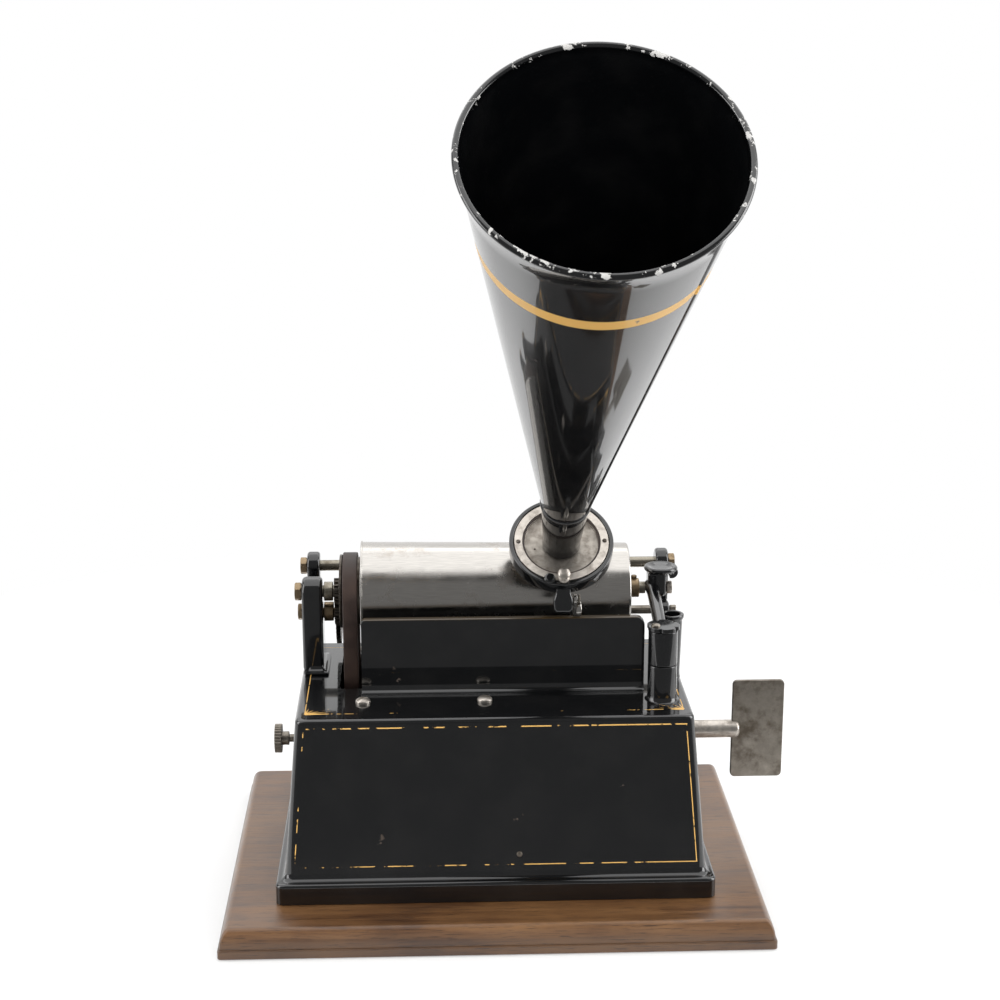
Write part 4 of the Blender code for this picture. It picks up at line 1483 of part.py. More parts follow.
def build_barrel(mats):
    """Spring barrel with its great wheel, coiled mainspring and cover."""
    hub = ARBOR_RADIUS * 5 / 3
    neck = BARREL_LEFT - GREAT_WHEEL_RIGHT - GAP
    length = neck + BARREL_RIGHT - BARREL_LEFT
    bore = ARBOR_RADIUS + GAP
    inside = BARREL_RADIUS - BARREL_WALL
    profile = [(bore, 0), (hub, 0), (hub, neck), (BARREL_RADIUS, neck), (BARREL_RADIUS, length),
               (inside, length), (inside, neck + BARREL_WALL), (bore, neck + BARREL_WALL)]
    along_x(turned("spring_barrel", profile, mats["brass"]), BARREL_LEFT - neck, *BARREL_AXIS)
    cover = turned("barrel_cover", tube_profile(bore, inside - GAP, BARREL_COVER), mats["steel"])
    along_x(cover, BARREL_RIGHT - BARREL_COVER, *BARREL_AXIS)
    gear("great_wheel", GREAT_TEETH, GREAT_MODULE, 0.0, WHEEL_FACE, GREAT_WHEEL_RIGHT - WHEEL_FACE,
         *BARREL_AXIS, bore, mats["brass"])

    steps = 16 * SPRING_TURNS
    near = inside - 2 * GAP - SPRING_STRIP / 2 - SPRING_PITCH * SPRING_TURNS
    coils = {-1: [], 1: []}
    for i in range(steps + 1):
        angle = math.tau * SPRING_TURNS * i / steps
        for side, loop in coils.items():
            radius = near + SPRING_PITCH * SPRING_TURNS * i / steps + side * SPRING_STRIP / 2
            loop.append((radius * math.cos(angle), radius * math.sin(angle)))
    left = BARREL_LEFT + BARREL_WALL + 2 * GAP
    width = BARREL_RIGHT - BARREL_COVER - 2 * GAP - left
    spring = side_plate("mainspring", coils[1] + coils[-1][::-1], 0, width, mats["steel"])
    place(spring, (left, *BARREL_AXIS))


def train_arbor(name, axis, left, right, material, shoulders=()):
    """An arbor between the plates; its ends are pivots unless it runs on past a plate.

    Each shoulder is a thicker stretch, as (radius, left end, right end).
    """
    inner_left = LEFT_PLATE_X + PLATE_THICKNESS + GAP
    inner_right = RIGHT_PLATE_X - GAP
    steps = [(0, left)]
    if left > BELT_LEFT:
        steps += [(PIVOT_RADIUS, left), (PIVOT_RADIUS, inner_left), (TRAIN_ARBOR_RADIUS, inner_left)]
    else:
        steps.append((TRAIN_ARBOR_RADIUS, left))
    for radius, low, high in shoulders:
        touching = steps[-1][1] == low
        if touching:
            steps.pop()
        else:
            steps.append((TRAIN_ARBOR_RADIUS, low))
        steps += [(radius, low), (radius, high), (TRAIN_ARBOR_RADIUS, high)]
    steps += [(TRAIN_ARBOR_RADIUS, inner_right), (PIVOT_RADIUS, inner_right), (PIVOT_RADIUS, right),
              (0, right)]
    arbor = turned(name, [(radius, x - left) for radius, x in steps], material, SMALL_STEPS)
    return along_x(arbor, left, *axis)


def build_train(mats):
    """Second arbor, drive arbor with the belt's pulley, and the ball governor."""
    steel, brass = mats["steel"], mats["brass"]
    left = LEFT_PLATE_X - PIVOT_END
    right = RIGHT_PLATE_X + PLATE_THICKNESS + PIVOT_END
    extra = PINION_EXTRA / 2

    second = train_arbor("second_arbor", SECOND_AXIS, left, right, steel)
    turn = mesh_turn(SECOND_PINION_TEETH, GREAT_TEETH, 0.0, direction(SECOND_AXIS, BARREL_AXIS))
    pinion = gear("second_pinion", SECOND_PINION_TEETH, GREAT_MODULE, turn, WHEEL_FACE + PINION_EXTRA,
                  GREAT_WHEEL_RIGHT - WHEEL_FACE - extra, *SECOND_AXIS, 0, steel)
    wheel = gear("second_wheel", SECOND_TEETH, SECOND_MODULE, 0.0, WHEEL_FACE, SECOND_WHEEL_X,
                 *SECOND_AXIS, 0, brass)
    join(second, pinion, wheel)

    pulley_left = BELT_LEFT - GAP - PULLEY_FLANGE
    pulley_right = BELT_RIGHT + GAP + PULLEY_FLANGE
    drive = train_arbor("drive_arbor", DRIVE_AXIS, pulley_left - PIVOT_END, right, steel)
    turn = mesh_turn(DRIVE_PINION_TEETH, SECOND_TEETH, 0.0, direction(DRIVE_AXIS, SECOND_AXIS))
    pinion = gear("drive_pinion", DRIVE_PINION_TEETH, SECOND_MODULE, turn, WHEEL_FACE + PINION_EXTRA,
                  SECOND_WHEEL_X - extra, *DRIVE_AXIS, 0, steel)
    wheel = gear("third_wheel", THIRD_TEETH, GOVERNOR_MODULE, 0.0, WHEEL_FACE, THIRD_WHEEL_X,
                 *DRIVE_AXIS, 0, brass)
    join(drive, pinion, wheel)
    width = pulley_right - pulley_left
    bore = TRAIN_ARBOR_RADIUS + GAP
    rim = DRIVE_PULLEY_RADIUS + PULLEY_FLANGE_HEIGHT
    profile = [(bore, 0), (rim, 0), (rim, PULLEY_FLANGE), (DRIVE_PULLEY_RADIUS, PULLEY_FLANGE),
               (DRIVE_PULLEY_RADIUS, width - PULLEY_FLANGE), (rim, width - PULLEY_FLANGE),
               (rim, width), (bore, width)]
    along_x(turned("drive_pulley", profile, mats["aged"]), pulley_left, *DRIVE_AXIS)

    disc_right = GOVERNOR_DISC_X + GOVERNOR_DISC_THICKNESS
    shoulders = [(GOVERNOR_DISC_RADIUS, GOVERNOR_DISC_X, disc_right),
                 (GOVERNOR_COLLAR_RADIUS, disc_right, disc_right + GOVERNOR_COLLAR_LENGTH),
                 (GOVERNOR_COLLAR_RADIUS, GOVERNOR_COLLAR_X,
                  GOVERNOR_COLLAR_X + GOVERNOR_COLLAR_LENGTH)]
    governor = train_arbor("governor_arbor", GOVERNOR_AXIS, left, right, steel, shoulders)
    turn = mesh_turn(GOVERNOR_PINION_TEETH, THIRD_TEETH, 0.0, direction(GOVERNOR_AXIS, DRIVE_AXIS))
    pinion = gear("governor_pinion", GOVERNOR_PINION_TEETH, GOVERNOR_MODULE, turn,
                  WHEEL_FACE + PINION_EXTRA, THIRD_WHEEL_X - extra, *GOVERNOR_AXIS, 0, steel)
    join(governor, pinion)

    start = disc_right + 2 * GAP
    span = GOVERNOR_COLLAR_X + GOVERNOR_COLLAR_LENGTH - GAP - start
    base = GOVERNOR_COLLAR_RADIUS - 3 * GAP
    steps = 2 * FILLET_STEPS + 1
    for number in range(3):
        spin = math.tau * number / 3
        bow = [(span * i / steps, base + GOVERNOR_BOW * math.sin(math.pi * i / steps))
               for i in range(steps + 1)]
        outline = [(x, r + GOVERNOR_SPRING) for x, r in bow] + bow[::-1]
        bm = extruded_mesh(outline, GOVERNOR_SPRING_WIDTH)
        bmesh.ops.translate(bm, verts=bm.verts, vec=(0, 0, -GOVERNOR_SPRING_WIDTH / 2))
        bmesh.ops.rotate(bm, verts=bm.verts, cent=(0, 0, 0), matrix=Matrix.Rotation(spin, 3, "X"))
        arm = place(new_object(f"governor_spring_{number}", bm, steel), (start, *GOVERNOR_AXIS))
        bm = bmesh.new()
        bmesh.ops.create_uvsphere(bm, u_segments=SMALL_STEPS, v_segments=SMALL_STEPS // 2,
                                  radius=GOVERNOR_BALL_RADIUS)
        ball = new_object(f"governor_ball_{number}", bm, brass)
        out = base + GOVERNOR_BOW + 2 * GOVERNOR_SPRING
        place(ball, (start + span / 2, GOVERNOR_AXIS[0] + out * math.cos(spin),
                     GOVERNOR_AXIS[1] + out * math.sin(spin)))
        join(governor, arm, ball)


def main():
    clear_scene()
    mats = make_materials()
    build_board(mats)
    build_case(mats)
    build_deck_trim(mats)
    build_bearing_bracket(mats)
    build_standards(mats)
    build_mandrel(mats)
    build_feed(mats)
    build_belt(mats)
    build_gate(mats)
    build_carriage(mats)
    build_carrier(mats)
    build_lever(mats)
    build_reproducer(mats)
    build_horn(mats)
    build_key(mats)
    build_speed(mats)
    build_plates(mats)
    build_barrel(mats)
    build_train(mats)


main()
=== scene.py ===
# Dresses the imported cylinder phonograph: finer surfaces over its CAD nodes, procedural
# materials, the camera of the photograph and a pale studio. Metres, Z up, X right, Y back.
import json
import math

import bmesh
import bpy
import numpy as np
from mathutils import Matrix, Vector


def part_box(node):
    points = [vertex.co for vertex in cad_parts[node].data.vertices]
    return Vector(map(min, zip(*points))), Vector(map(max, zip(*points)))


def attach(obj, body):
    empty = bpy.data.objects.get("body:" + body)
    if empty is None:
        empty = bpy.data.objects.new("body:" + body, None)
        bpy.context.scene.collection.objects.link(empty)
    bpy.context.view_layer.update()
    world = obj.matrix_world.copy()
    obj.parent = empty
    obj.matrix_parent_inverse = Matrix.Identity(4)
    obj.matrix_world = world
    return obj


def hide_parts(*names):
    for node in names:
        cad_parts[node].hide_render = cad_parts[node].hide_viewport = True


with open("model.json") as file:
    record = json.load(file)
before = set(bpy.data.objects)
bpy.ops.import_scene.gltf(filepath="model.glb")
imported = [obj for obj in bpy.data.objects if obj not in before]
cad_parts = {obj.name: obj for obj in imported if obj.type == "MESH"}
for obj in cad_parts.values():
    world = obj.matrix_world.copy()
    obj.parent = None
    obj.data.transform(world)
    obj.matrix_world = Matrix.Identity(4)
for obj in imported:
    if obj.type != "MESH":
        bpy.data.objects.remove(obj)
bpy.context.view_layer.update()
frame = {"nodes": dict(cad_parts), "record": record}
joints = {joint["name"]: joint for joint in frame["record"]["behaviour"]["joints"]}
# gap: clearance between pieces. The next two are counts of sides on turned pieces
gap = 0.0003
fine = 144
coarse = 48
alongX = (1, 0, 0)
alongZ = (0, 0, 1)


def box(node):
    low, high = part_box(node)
    return Vector(low), Vector(high)


def jointPoint(name):
    return Vector(joints[name]["pos_m"])


def jointLine(name):
    # Where a joint's axis along X crosses the plane x = 0
    point = jointPoint(name)
    return Vector((0, point.y, point.z))


# Meshes


def inScene(name, data):
    thing = bpy.data.objects.new(name, data)
    bpy.context.scene.collection.objects.link(thing)
    return thing


def softEdges(piece, width, angle=35):
    modifier = piece.modifiers.new("softEdges", "BEVEL")
    modifier.width = width
    modifier.segments = 3
    modifier.limit_method = "ANGLE"
    modifier.angle_limit = math.radians(angle)
    modifier.harden_normals = True


def finishPiece(name, mesh, material, body, replaced=(), sharpAngle=50, bevel=0.0,
                flats=False):
    # flats: large flats keep their own normal next to narrow rounded edges
    mesh.shade_smooth()
    mesh.set_sharp_from_angle(angle=math.radians(sharpAngle))
    mesh.materials.append(material)
    piece = inScene(name, mesh)
    if bevel:
        softEdges(piece, bevel)
    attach(piece, body)
    if replaced:
        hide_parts(*replaced)
    if flats:
        piece.modifiers.new("faceWeights", "WEIGHTED_NORMAL").keep_sharp = True


def meshFrom(name, work):
    bmesh.ops.recalc_face_normals(work, faces=work.faces)
    mesh = bpy.data.meshes.new(name)
    work.to_mesh(mesh)
    work.free()
    return mesh


def gridMesh(name, grid, wrapRows=False, wrapColumns=True, caps=False):
    # Quads between neighbouring points of a rows x columns x 3 array
    grid = np.array(grid)
    rows, columns = grid.shape[:2]
    index = np.arange(rows * columns).reshape(rows, columns)
    if wrapRows:
        index = np.vstack([index, index[:1]])
    if wrapColumns:
        index = np.hstack([index, index[:, :1]])
    quads = np.stack([index[:-1, :-1], index[:-1, 1:], index[1:, 1:], index[1:, :-1]], axis=-1)
    faces = quads.reshape(-1, 4).tolist()
    if caps:
        faces.append(index[0, :columns].tolist()[::-1])
        faces.append(index[rows - 1, :columns].tolist())
    plain = bpy.data.meshes.new("plain")
    plain.from_pydata(grid.reshape(-1, 3).tolist(), [], faces)
    work = bmesh.new()
    work.from_mesh(plain)
    bpy.data.meshes.remove(plain)
    bmesh.ops.remove_doubles(work, verts=work.verts, dist=gap / 1000)
    return meshFrom(name, work)


def softCorners(points, radius, steps=4, closed=False):
    # Each corner of a polyline gives way to a parabola that starts and ends the same short
    # way from it, so that turned pieces catch light along their edges as real ones do
    points = [np.array(point, dtype=float) for point in points]
    count = len(points)
    result = []
    for i, corner in enumerate(points):
        if not closed and i in (0, count - 1):
            result.append(corner)
            continue
        before, after = points[i - 1], points[(i + 1) % count]
        back, ahead = before - corner, after - corner
        backLength, aheadLength = np.linalg.norm(back), np.linalg.norm(ahead)
        reach = min(radius, backLength * 0.45, aheadLength * 0.45)
        start = corner + back / backLength * reach
        end = corner + ahead / aheadLength * reach
        for step in range(steps + 1):
            share = step / steps
            result.append((1 - share) ** 2 * start + 2 * share * (1 - share) * corner
                          + share ** 2 * end)
    return result


def stepped(places, radii, bore=0):
    # Profile of a stepped pin or ring: one radius between each place and the next
    profile = [(bore, places[0])]
    for radius, start, end in zip(radii, places, places[1:]):
        profile += [(radius, start), (radius, end)]
    return profile + [(bore, places[-1])]


def turnedMesh(name, profile, origin, axis, steps=fine, soft=0.0003, closed=False):
    # Surface of revolution: profile points (radius, distance) turn round the axis, so a point
    # lies at origin + axis * distance + radius * (across cos a + upward sin a)
    if soft:
        profile = softCorners(profile, soft, closed=closed)
    profile = np.array(profile)
    axis = Vector(axis).normalized()
    across = axis.orthogonal().normalized()
    upward = axis.cross(across)
    turn = np.linspace(0, math.tau, steps, endpoint=False)
    ring = np.outer(np.cos(turn), across) + np.outer(np.sin(turn), upward)
    grid = (np.array(origin) + profile[:, 1, None, None] * np.array(axis)
            + profile[:, 0, None, None] * ring[None])
    return gridMesh(name, grid, wrapRows=closed)


def turned(name, profile, origin, axis, material, body, replaced=(), **options):
    finishPiece(name, turnedMesh(name, profile, origin, axis, **options), material, body,
                replaced, 40)


def outlineMesh(name, outline, low, high, axis="X"):
    # A flat outline pushed straight from low to high along one axis
    work = bmesh.new()
    place = {"X": lambda a, b, depth: (depth, a, b), "Y": lambda a, b, depth: (a, depth, b),
             "Z": lambda a, b, depth: (a, b, depth)}[axis]
    near = [work.verts.new(place(a, b, low)) for a, b in outline]
    far = [work.verts.new(place(a, b, high)) for a, b in outline]
    work.faces.new(near)
    work.faces.new(far)
    for i in range(len(outline)):
        j = (i + 1) % len(outline)
        work.faces.new((near[i], near[j], far[j], far[i]))
    return meshFrom(name, work)


def boxMesh(name, low, high):
    return outlineMesh(name, [(low[0], low[1]), (high[0], low[1]), (high[0], high[1]),
                              (low[0], high[1])], low[2], high[2], "Z")


def arcPoints(a, b, radius, start, end, steps=24):
    turn = np.radians(np.linspace(start, end, steps + 1))
    return list(zip(a + radius * np.cos(turn), b + radius * np.sin(turn)))


def hullPoints(first, firstRadius, second, secondRadius, steps=32):
    # Outline round two circles and the two lines that touch both
    reach = math.dist(first, second)
    heading = math.degrees(math.atan2(second[1] - first[1], second[0] - first[0]))
    lean = math.degrees(math.acos((firstRadius - secondRadius) / reach))
    return (arcPoints(*first, firstRadius, heading + lean, heading + 360 - lean, steps)
            + arcPoints(*second, secondRadius, heading - lean, heading + lean, steps))


def levelLoop(halfX, halfY, corner, z, middle=(0, 0)):
    # A rectangle with rounded corners, at one height
    points = []
    for signX, signY, start in ((1, 1, 0), (-1, 1, 90), (-1, -1, 180), (1, -1, 270)):
        arc = arcPoints(signX * (halfX - corner), signY * (halfY - corner), corner, start,
                        start + 90, 8)
        points += [(x + middle[0], y + middle[1], z) for x, y in arc]
    return points


def quarter(steps=8):
    return [math.radians(90 * i / steps) for i in range(steps + 1)]


def fade(size, angle):
    # What is left of a size along a quarter circle: all of it at 0, none at 90 degrees
    return size * (1 - math.sin(angle))


def grow(size, angle):
    # The other way round: none at 0, all of it at 90 degrees
    return size * (1 - math.cos(angle))


def carved(mesh, cutter, operation="DIFFERENCE"):
    # The mesh after one exact Boolean with another mesh
    pair = [inScene("carving", part) for part in (mesh, cutter)]
    modifier = pair[0].modifiers.new("carve", "BOOLEAN")
    modifier.operation = operation
    modifier.solver = "EXACT"
    modifier.object = pair[1]
    graph = bpy.context.evaluated_depsgraph_get()
    result = bpy.data.meshes.new_from_object(pair[0].evaluated_get(graph))
    result.name = mesh.name
    for thing in pair:
        bpy.data.objects.remove(thing, do_unlink=True)
    return result


def moved(mesh, matrix):
    mesh.transform(matrix)
    return mesh


# Materials


class Signal:
    # One shader value: its operators and methods each add a node to its material
    def __init__(self, material, socket):
        self.material = material
        self.socket = socket

    def through(self, kind, inputs, output=0, **settings):
        return Signal(self.material,
                      addNode(self.material, kind, inputs, **settings).outputs[output])

    def to(self, node, key):
        self.material.node_tree.links.new(self.socket, node.inputs[key])

    def maths(self, operation, *others):
        inputs = dict(enumerate((self, *others)))
        return self.through("ShaderNodeMath", inputs, operation=operation)

    def __add__(self, other):
        return self.maths("ADD", other)

    def __sub__(self, other):
        return self.maths("SUBTRACT", other)

    def __rsub__(self, number):
        return self.through("ShaderNodeMath", {0: number, 1: self}, operation="SUBTRACT")

    def __mul__(self, other):
        return self.maths("MULTIPLY", other)

    def __lt__(self, other):
        return self.maths("LESS_THAN", other)

    def __gt__(self, other):
        return self.maths("GREATER_THAN", other)

    def __abs__(self):
        return self.maths("ABSOLUTE")

    def orMore(self, other):
        return self.maths("MAXIMUM", other)

    def scaled(self, factor, offset):
        return self.maths("MULTIPLY_ADD", factor, offset)

    def clamped(self):
        return self.through("ShaderNodeClamp", {"Value": self})

    def between(self, low, high, feather):
        # 1 between low and high, falling to 0 over the feather inside each end
        nearest = (self - low).maths("MINIMUM", high - self)
        return nearest.maths("DIVIDE", feather).clamped()

    def line(self, half):
        # 1 on a painted line whose offset from its middle is this value
        return self.between(-half, half, half * 0.5)

    def mapped(self, low, high, atLow, atHigh):
        return self.through("ShaderNodeMapRange", {"Value": self, "From Min": low,
                            "From Max": high, "To Min": atLow, "To Max": atHigh})

    def ramp(self, *stops):
        # stops are (place, grey level or colour)
        node = addNode(self.material, "ShaderNodeValToRGB", {"Fac": self})
        band = node.color_ramp
        while len(band.elements) < len(stops):
            band.elements.new(0.5)
        for element, (place, colour) in zip(band.elements, stops):
            element.position = place
            element.color = (*colour, 1) if isinstance(colour, tuple) \
                else (colour, colour, colour, 1)
        return Signal(self.material, node.outputs["Color"])

    def mix(self, *pair):
        # The first colour where this value is 0, the second where it is 1
        first, second = (one if isinstance(one, Signal) else (*one, 1) for one in pair)
        return self.through("ShaderNodeMix", {0: self, 6: first, 7: second}, 2,
                            data_type="RGBA")

    def noise(self, scale, detail=4.0, roughness=0.55, distortion=0.0):
        return self.through("ShaderNodeTexNoise", {"Vector": self, "Scale": scale,
                            "Detail": detail, "Roughness": roughness,
                            "Distortion": distortion}, "Fac")

    def vector(self, operation, other, output=0):
        return self.through("ShaderNodeVectorMath", {0: self, 1: other}, output,
                            operation=operation)

    def axes(self):
        node = addNode(self.material, "ShaderNodeSeparateXYZ", {"Vector": self})
        return [Signal(self.material, output) for output in node.outputs]

    def bump(self, shader, strength, distance, targets=("Normal",)):
        normal = self.through("ShaderNodeBump", {"Height": self, "Strength": strength,
                                                 "Distance": distance}, "Normal")
        for target in targets:
            normal.to(shader, target)


def addNode(material, kind, inputs=None, **settings):
    node = material.node_tree.nodes.new(kind)
    for key, value in settings.items():
        setattr(node, key, value)
    for key, value in (inputs or {}).items():
        if isinstance(value, Signal):
            value.to(node, key)
        else:
            node.inputs[key].default_value = value
    return node


def startMaterial(name, colour, roughness, metallic=0.0, **sockets):
    material = bpy.data.materials.new(name)
    material.use_nodes = True
    shader = material.node_tree.nodes["Principled BSDF"]
    shader.inputs["Base Color"].default_value = (*colour, 1)
    shader.inputs["Roughness"].default_value = roughness
    shader.inputs["Metallic"].default_value = metallic
    for socket, value in sockets.items():
        shader.inputs[socket.replace("_", " ")].default_value = value
    return material, shader


def objectCoords(material, stretch=(1, 1, 1), turn=(0, 0, 0)):
    # The object's own coordinates, stretched: 1 / stretch is how long a feature grows
    coords = Signal(material, addNode(material, "ShaderNodeTexCoord").outputs["Object"])
    return coords.through("ShaderNodeMapping", {"Vector": coords, "Scale": stretch,
                                                "Rotation": turn}, "Vector")


# Sizes that the painted finishes follow
case = {"floor": 0.0133, "height": 0.082, "footX": 0.0985, "footY": 0.066, "footHeight": 0.0095,
        "flare": 0.0032, "deckX": 0.0887, "deckY": 0.0521, "wall": 0.004, "corner": 0.004,
        "edge": 0.0018, "deck": 0.004, "footEdge": 0.0016}
deckTop = case["floor"] + case["height"]

apron = {"left": -0.0600, "right": 0.0695, "front": -0.018, "thickness": 0.004,
         "top": 0.1303, "fillet": 0.0038, "backFillet": 0.0019, "rightCorner": 0.004,
         "leftCorner": 0.002, "edge": 0.0009}

# Painted lines. inset: from the case's edges. low and high: the front frame's lower and upper
# lines. lean and foot: how fast that frame narrows and its half width at z = 0. half and
# upper: a line's half width, and how much broader the upper line is. frontY, deckLow and
# deckHigh: where front and deck end. strokes: (turn, length, half width) of each brush stroke.
# wear: thresholds at the left and right end of the span
# The three keys after span place the band along the apron's upper edge: rubbed paint with a
# painted highlight
gold = {"inset": 0.0040, "low": 0.0288, "high": 0.0916, "half": 0.00027, "upper": 1.3,
        "feather": 0.0002, "frontY": -0.045, "deckLow": 0.0945, "deckHigh": 0.0956,
        "wear": (0.53, 0.42), "span": 0.17, "rubbedSheenLow": 0.0006, "rubbedSheenHigh": 0.001,
        "rubbedSheenFeather": 0.0003,
        "strokes": [(0.02, 0.0160, 0.00085), (0.26, 0.0125, 0.00040), (0.52, 0.0135, 0.00040),
                    (0.95, 0.0080, 0.00045), (1.36, 0.0070, 0.00050)]}
gold["deckX"] = case["deckX"] - gold["inset"]
gold["deckY"] = case["deckY"] - 2 * gold["inset"]
gold["lean"] = (case["footX"] - case["flare"] - case["deckX"]) / case["height"]
gold["foot"] = (case["footX"] - case["flare"] - gold["inset"]
                + gold["lean"] * case["floor"])

hornTilt = math.radians(45.6)
hornAxis = Vector((0, -math.cos(hornTilt), math.sin(hornTilt)))
hornUp = Vector((0, math.sin(hornTilt), math.cos(hornTilt)))
horn = {"apexDrop": 0.0304, "start": 0.0325, "shoulder": 0.064, "mouth": 0.29446,
        "slope": math.tan(math.radians(9.71)), "wall": 0.0010, "rim": 0.0013,
        "footRadius": 0.0088, "bead": 0.0006, "beadWide": 0.0022, "beadStart": 0.0026,
        "collarWall": 0.0009, "bandLow": 0.2536, "bandHigh": 0.2602, "bandSlant": 1.01425,
        "bandFeather": 0.0005, "chipStart": 0.006, "chipEnd": 0.0004, "wireStart": 0.004,
        "seamHalf": 0.0009, "seamRise": 0.0008, "seamTurn": 40.0, "seamSink": 0.0002,
        "seamStart": 0.002, "seamEnd": 0.0032}
apex = jointPoint("horn_swivel") - hornAxis * horn["apexDrop"]


def enamelMaterial(name, gilding=None, chipped=None):
    # Black japan over iron: deep gloss, hair scratches, a little dust and rubbed cloud.
    # gilding and chipped give the share of gold and of bare metal from the coordinates
    black = (0.0022, 0.0025, 0.0030)
    material, shader = startMaterial(name, black, 0.32, Coat_Weight=1.0, Coat_Roughness=0.04,
                                     Coat_IOR=1.7, Specular_IOR_Level=0.1)
    coords = objectCoords(material)
    cloud = coords.noise(55, 5)
    hairs = objectCoords(material, (2, 90, 60), (0.3, 0.2, 0.5)).noise(26, 4, 0.7)
    rubbed = cloud.ramp((0.45, 0), (0.75, 1)) * 0.22
    dust = coords.noise(900, 2, 0.6).ramp((0.66, 0), (0.74, 1)) * 0.30
    base = rubbed.orMore(dust).mix(black, (0.020, 0.019, 0.018))
    flake = (coords.noise(210, 6, 0.7) * coords.noise(31, 2)).ramp((0.455, 0), (0.465, 1))
    base = flake.mix(base, (0.075, 0.060, 0.050))
    gloss = cloud.ramp((0.30, 0.02), (0.75, 0.075)) + hairs.ramp((0.58, 0), (0.74, 0.07))
    coat = 1.0 - flake
    if gilding:
        share = gilding(coords)
        base = share.mix(base, (0.84, 0.50, 0.15))
        coat = coat - share * 0.9
    if chipped:
        share = chipped(coords)
        base = share.mix(base, (0.62, 0.61, 0.59))
        coat = coat * (1.0 - share)
    base.to(shader, "Base Color")
    coat.clamped().to(shader, "Coat Weight")
    gloss.to(shader, "Coat Roughness")
    (cloud * 0.5 + flake * -0.3).bump(shader, 0.02, 0.0005, ("Normal", "Coat Normal"))
    return material


def caseGold(coords):
    # Frame on the sloping front, frame on the deck, and a fan of brush strokes at each
    # front corner of the deck
    x, y, z = coords.axes()
    side, depth, half = abs(x), abs(y), gold["half"]
    # The front frame's half width follows the slope of the case's ends
    across = side - z.scaled(-gold["lean"], gold["foot"])
    upright = across.line(half) * z.between(gold["low"], gold["high"], gold["feather"])
    level = (z - gold["low"]).line(half).orMore((z - gold["high"]).line(half * gold["upper"]))
    front = upright.orMore(level * (across < half)) * (y < gold["frontY"])
    # Patches of the front's gold have gone
    left, right = gold["wear"]
    threshold = x.scaled((right - left) / gold["span"], (left + right) / 2)
    front = front * (coords.noise(150, 4, 0.6) - threshold).ramp((0.0, 0), (0.03, 1))
    sideLine = (side - gold["deckX"]).line(half) * (depth < gold["deckY"])
    endLine = (depth - gold["deckY"]).line(half) * (side < gold["deckX"])
    deck = sideLine.orMore(endLine)
    # Each stroke: |offset| under a width that dies out along its length
    forward, inward = gold["deckX"] - side, y + gold["deckY"]
    for turn, length, broad in gold["strokes"]:
        along = forward * math.cos(turn) + inward * math.sin(turn)
        offset = abs(forward * math.sin(turn) - inward * math.cos(turn))
        stroke = (offset < along.scaled(-broad / length, broad)) * (along > 0)
        deck = deck.orMore(stroke)
    deck = deck * (z > gold["deckLow"]) * (z < gold["deckHigh"])
    # On the deck the gold lasts only toward the corners
    kept = coords.noise(170, 4, 0.6) + side.scaled(5.2, -0.33)
    deck = deck * kept.ramp((0.50, 0), (0.54, 1))
    # A faint brown band along the apron's upper edge: partly rubbed paint, partly a painted
    # highlight of that edge
    rubbed = z.between(apron["top"] - gold["rubbedSheenLow"], apron["top"] + gold["rubbedSheenHigh"],
                       gold["rubbedSheenFeather"]) * 0.05
    return front.orMore(deck).orMore(rubbed)


def alongHorn(coords):
    # Distance from the cone's point along the horn's axis
    return coords.vector("SUBTRACT", apex).vector("DOT_PRODUCT", hornAxis, "Value")


def hornGold(coords):
    # One painted band round the outside of the bell
    distance = alongHorn(coords)
    outside = coords.vector("DISTANCE", apex, "Value") > distance * horn["bandSlant"]
    worn = coords.noise(130, 4, 0.6).ramp((0.26, 0), (0.36, 1))
    band = distance.between(horn["bandLow"], horn["bandHigh"], horn["bandFeather"])
    return band * outside * worn


def hornChips(coords):
    # Bare metal where the paint has gone from the wired rim, and a few nicks below it
    patch = coords.noise(120, 6, 0.7) * 0.65 + coords.noise(420, 3, 0.6) * 0.35
    near = alongHorn(coords).mapped(horn["mouth"] - horn["chipStart"],
                                    horn["mouth"] - horn["chipEnd"], 0.0, 0.20)
    return (patch + near).ramp((0.755, 0), (0.772, 1))


def metalMaterial(name, clean, stain, amount, roughness, stretch=(1, 1, 1), lines=0.12,
                  scale=60, depth=1.0):
    # Plated or bare metal: clean areas, brown stains where the plate has gone, fine lines
    material, shader = startMaterial(name, clean, roughness, 1.0)
    coords = objectCoords(material)
    patches = coords.noise(scale, 6, 0.6) * 0.75 + coords.noise(scale * 6, 4, 0.6) * 0.25
    worn = patches.ramp((0.60 - amount * 0.3, 0), (0.76 - amount * 0.3, 1)) * depth
    streak = objectCoords(material, stretch).noise(420, 3, 0.6)
    tone = streak.ramp((0.35, 0), (0.65, 1)).mix(tuple(part * 0.84 for part in clean), clean)
    worn.mix(tone, stain).to(shader, "Base Color")
    smooth = coords.noise(scale * 2, 5).ramp((0.3, roughness * 0.75), (0.75, roughness * 1.5))
    worn.mix(smooth, (0.5, 0.5, 0.5)).to(shader, "Roughness")
    (streak + worn * -0.6).bump(shader, lines, 0.00025)
    return material


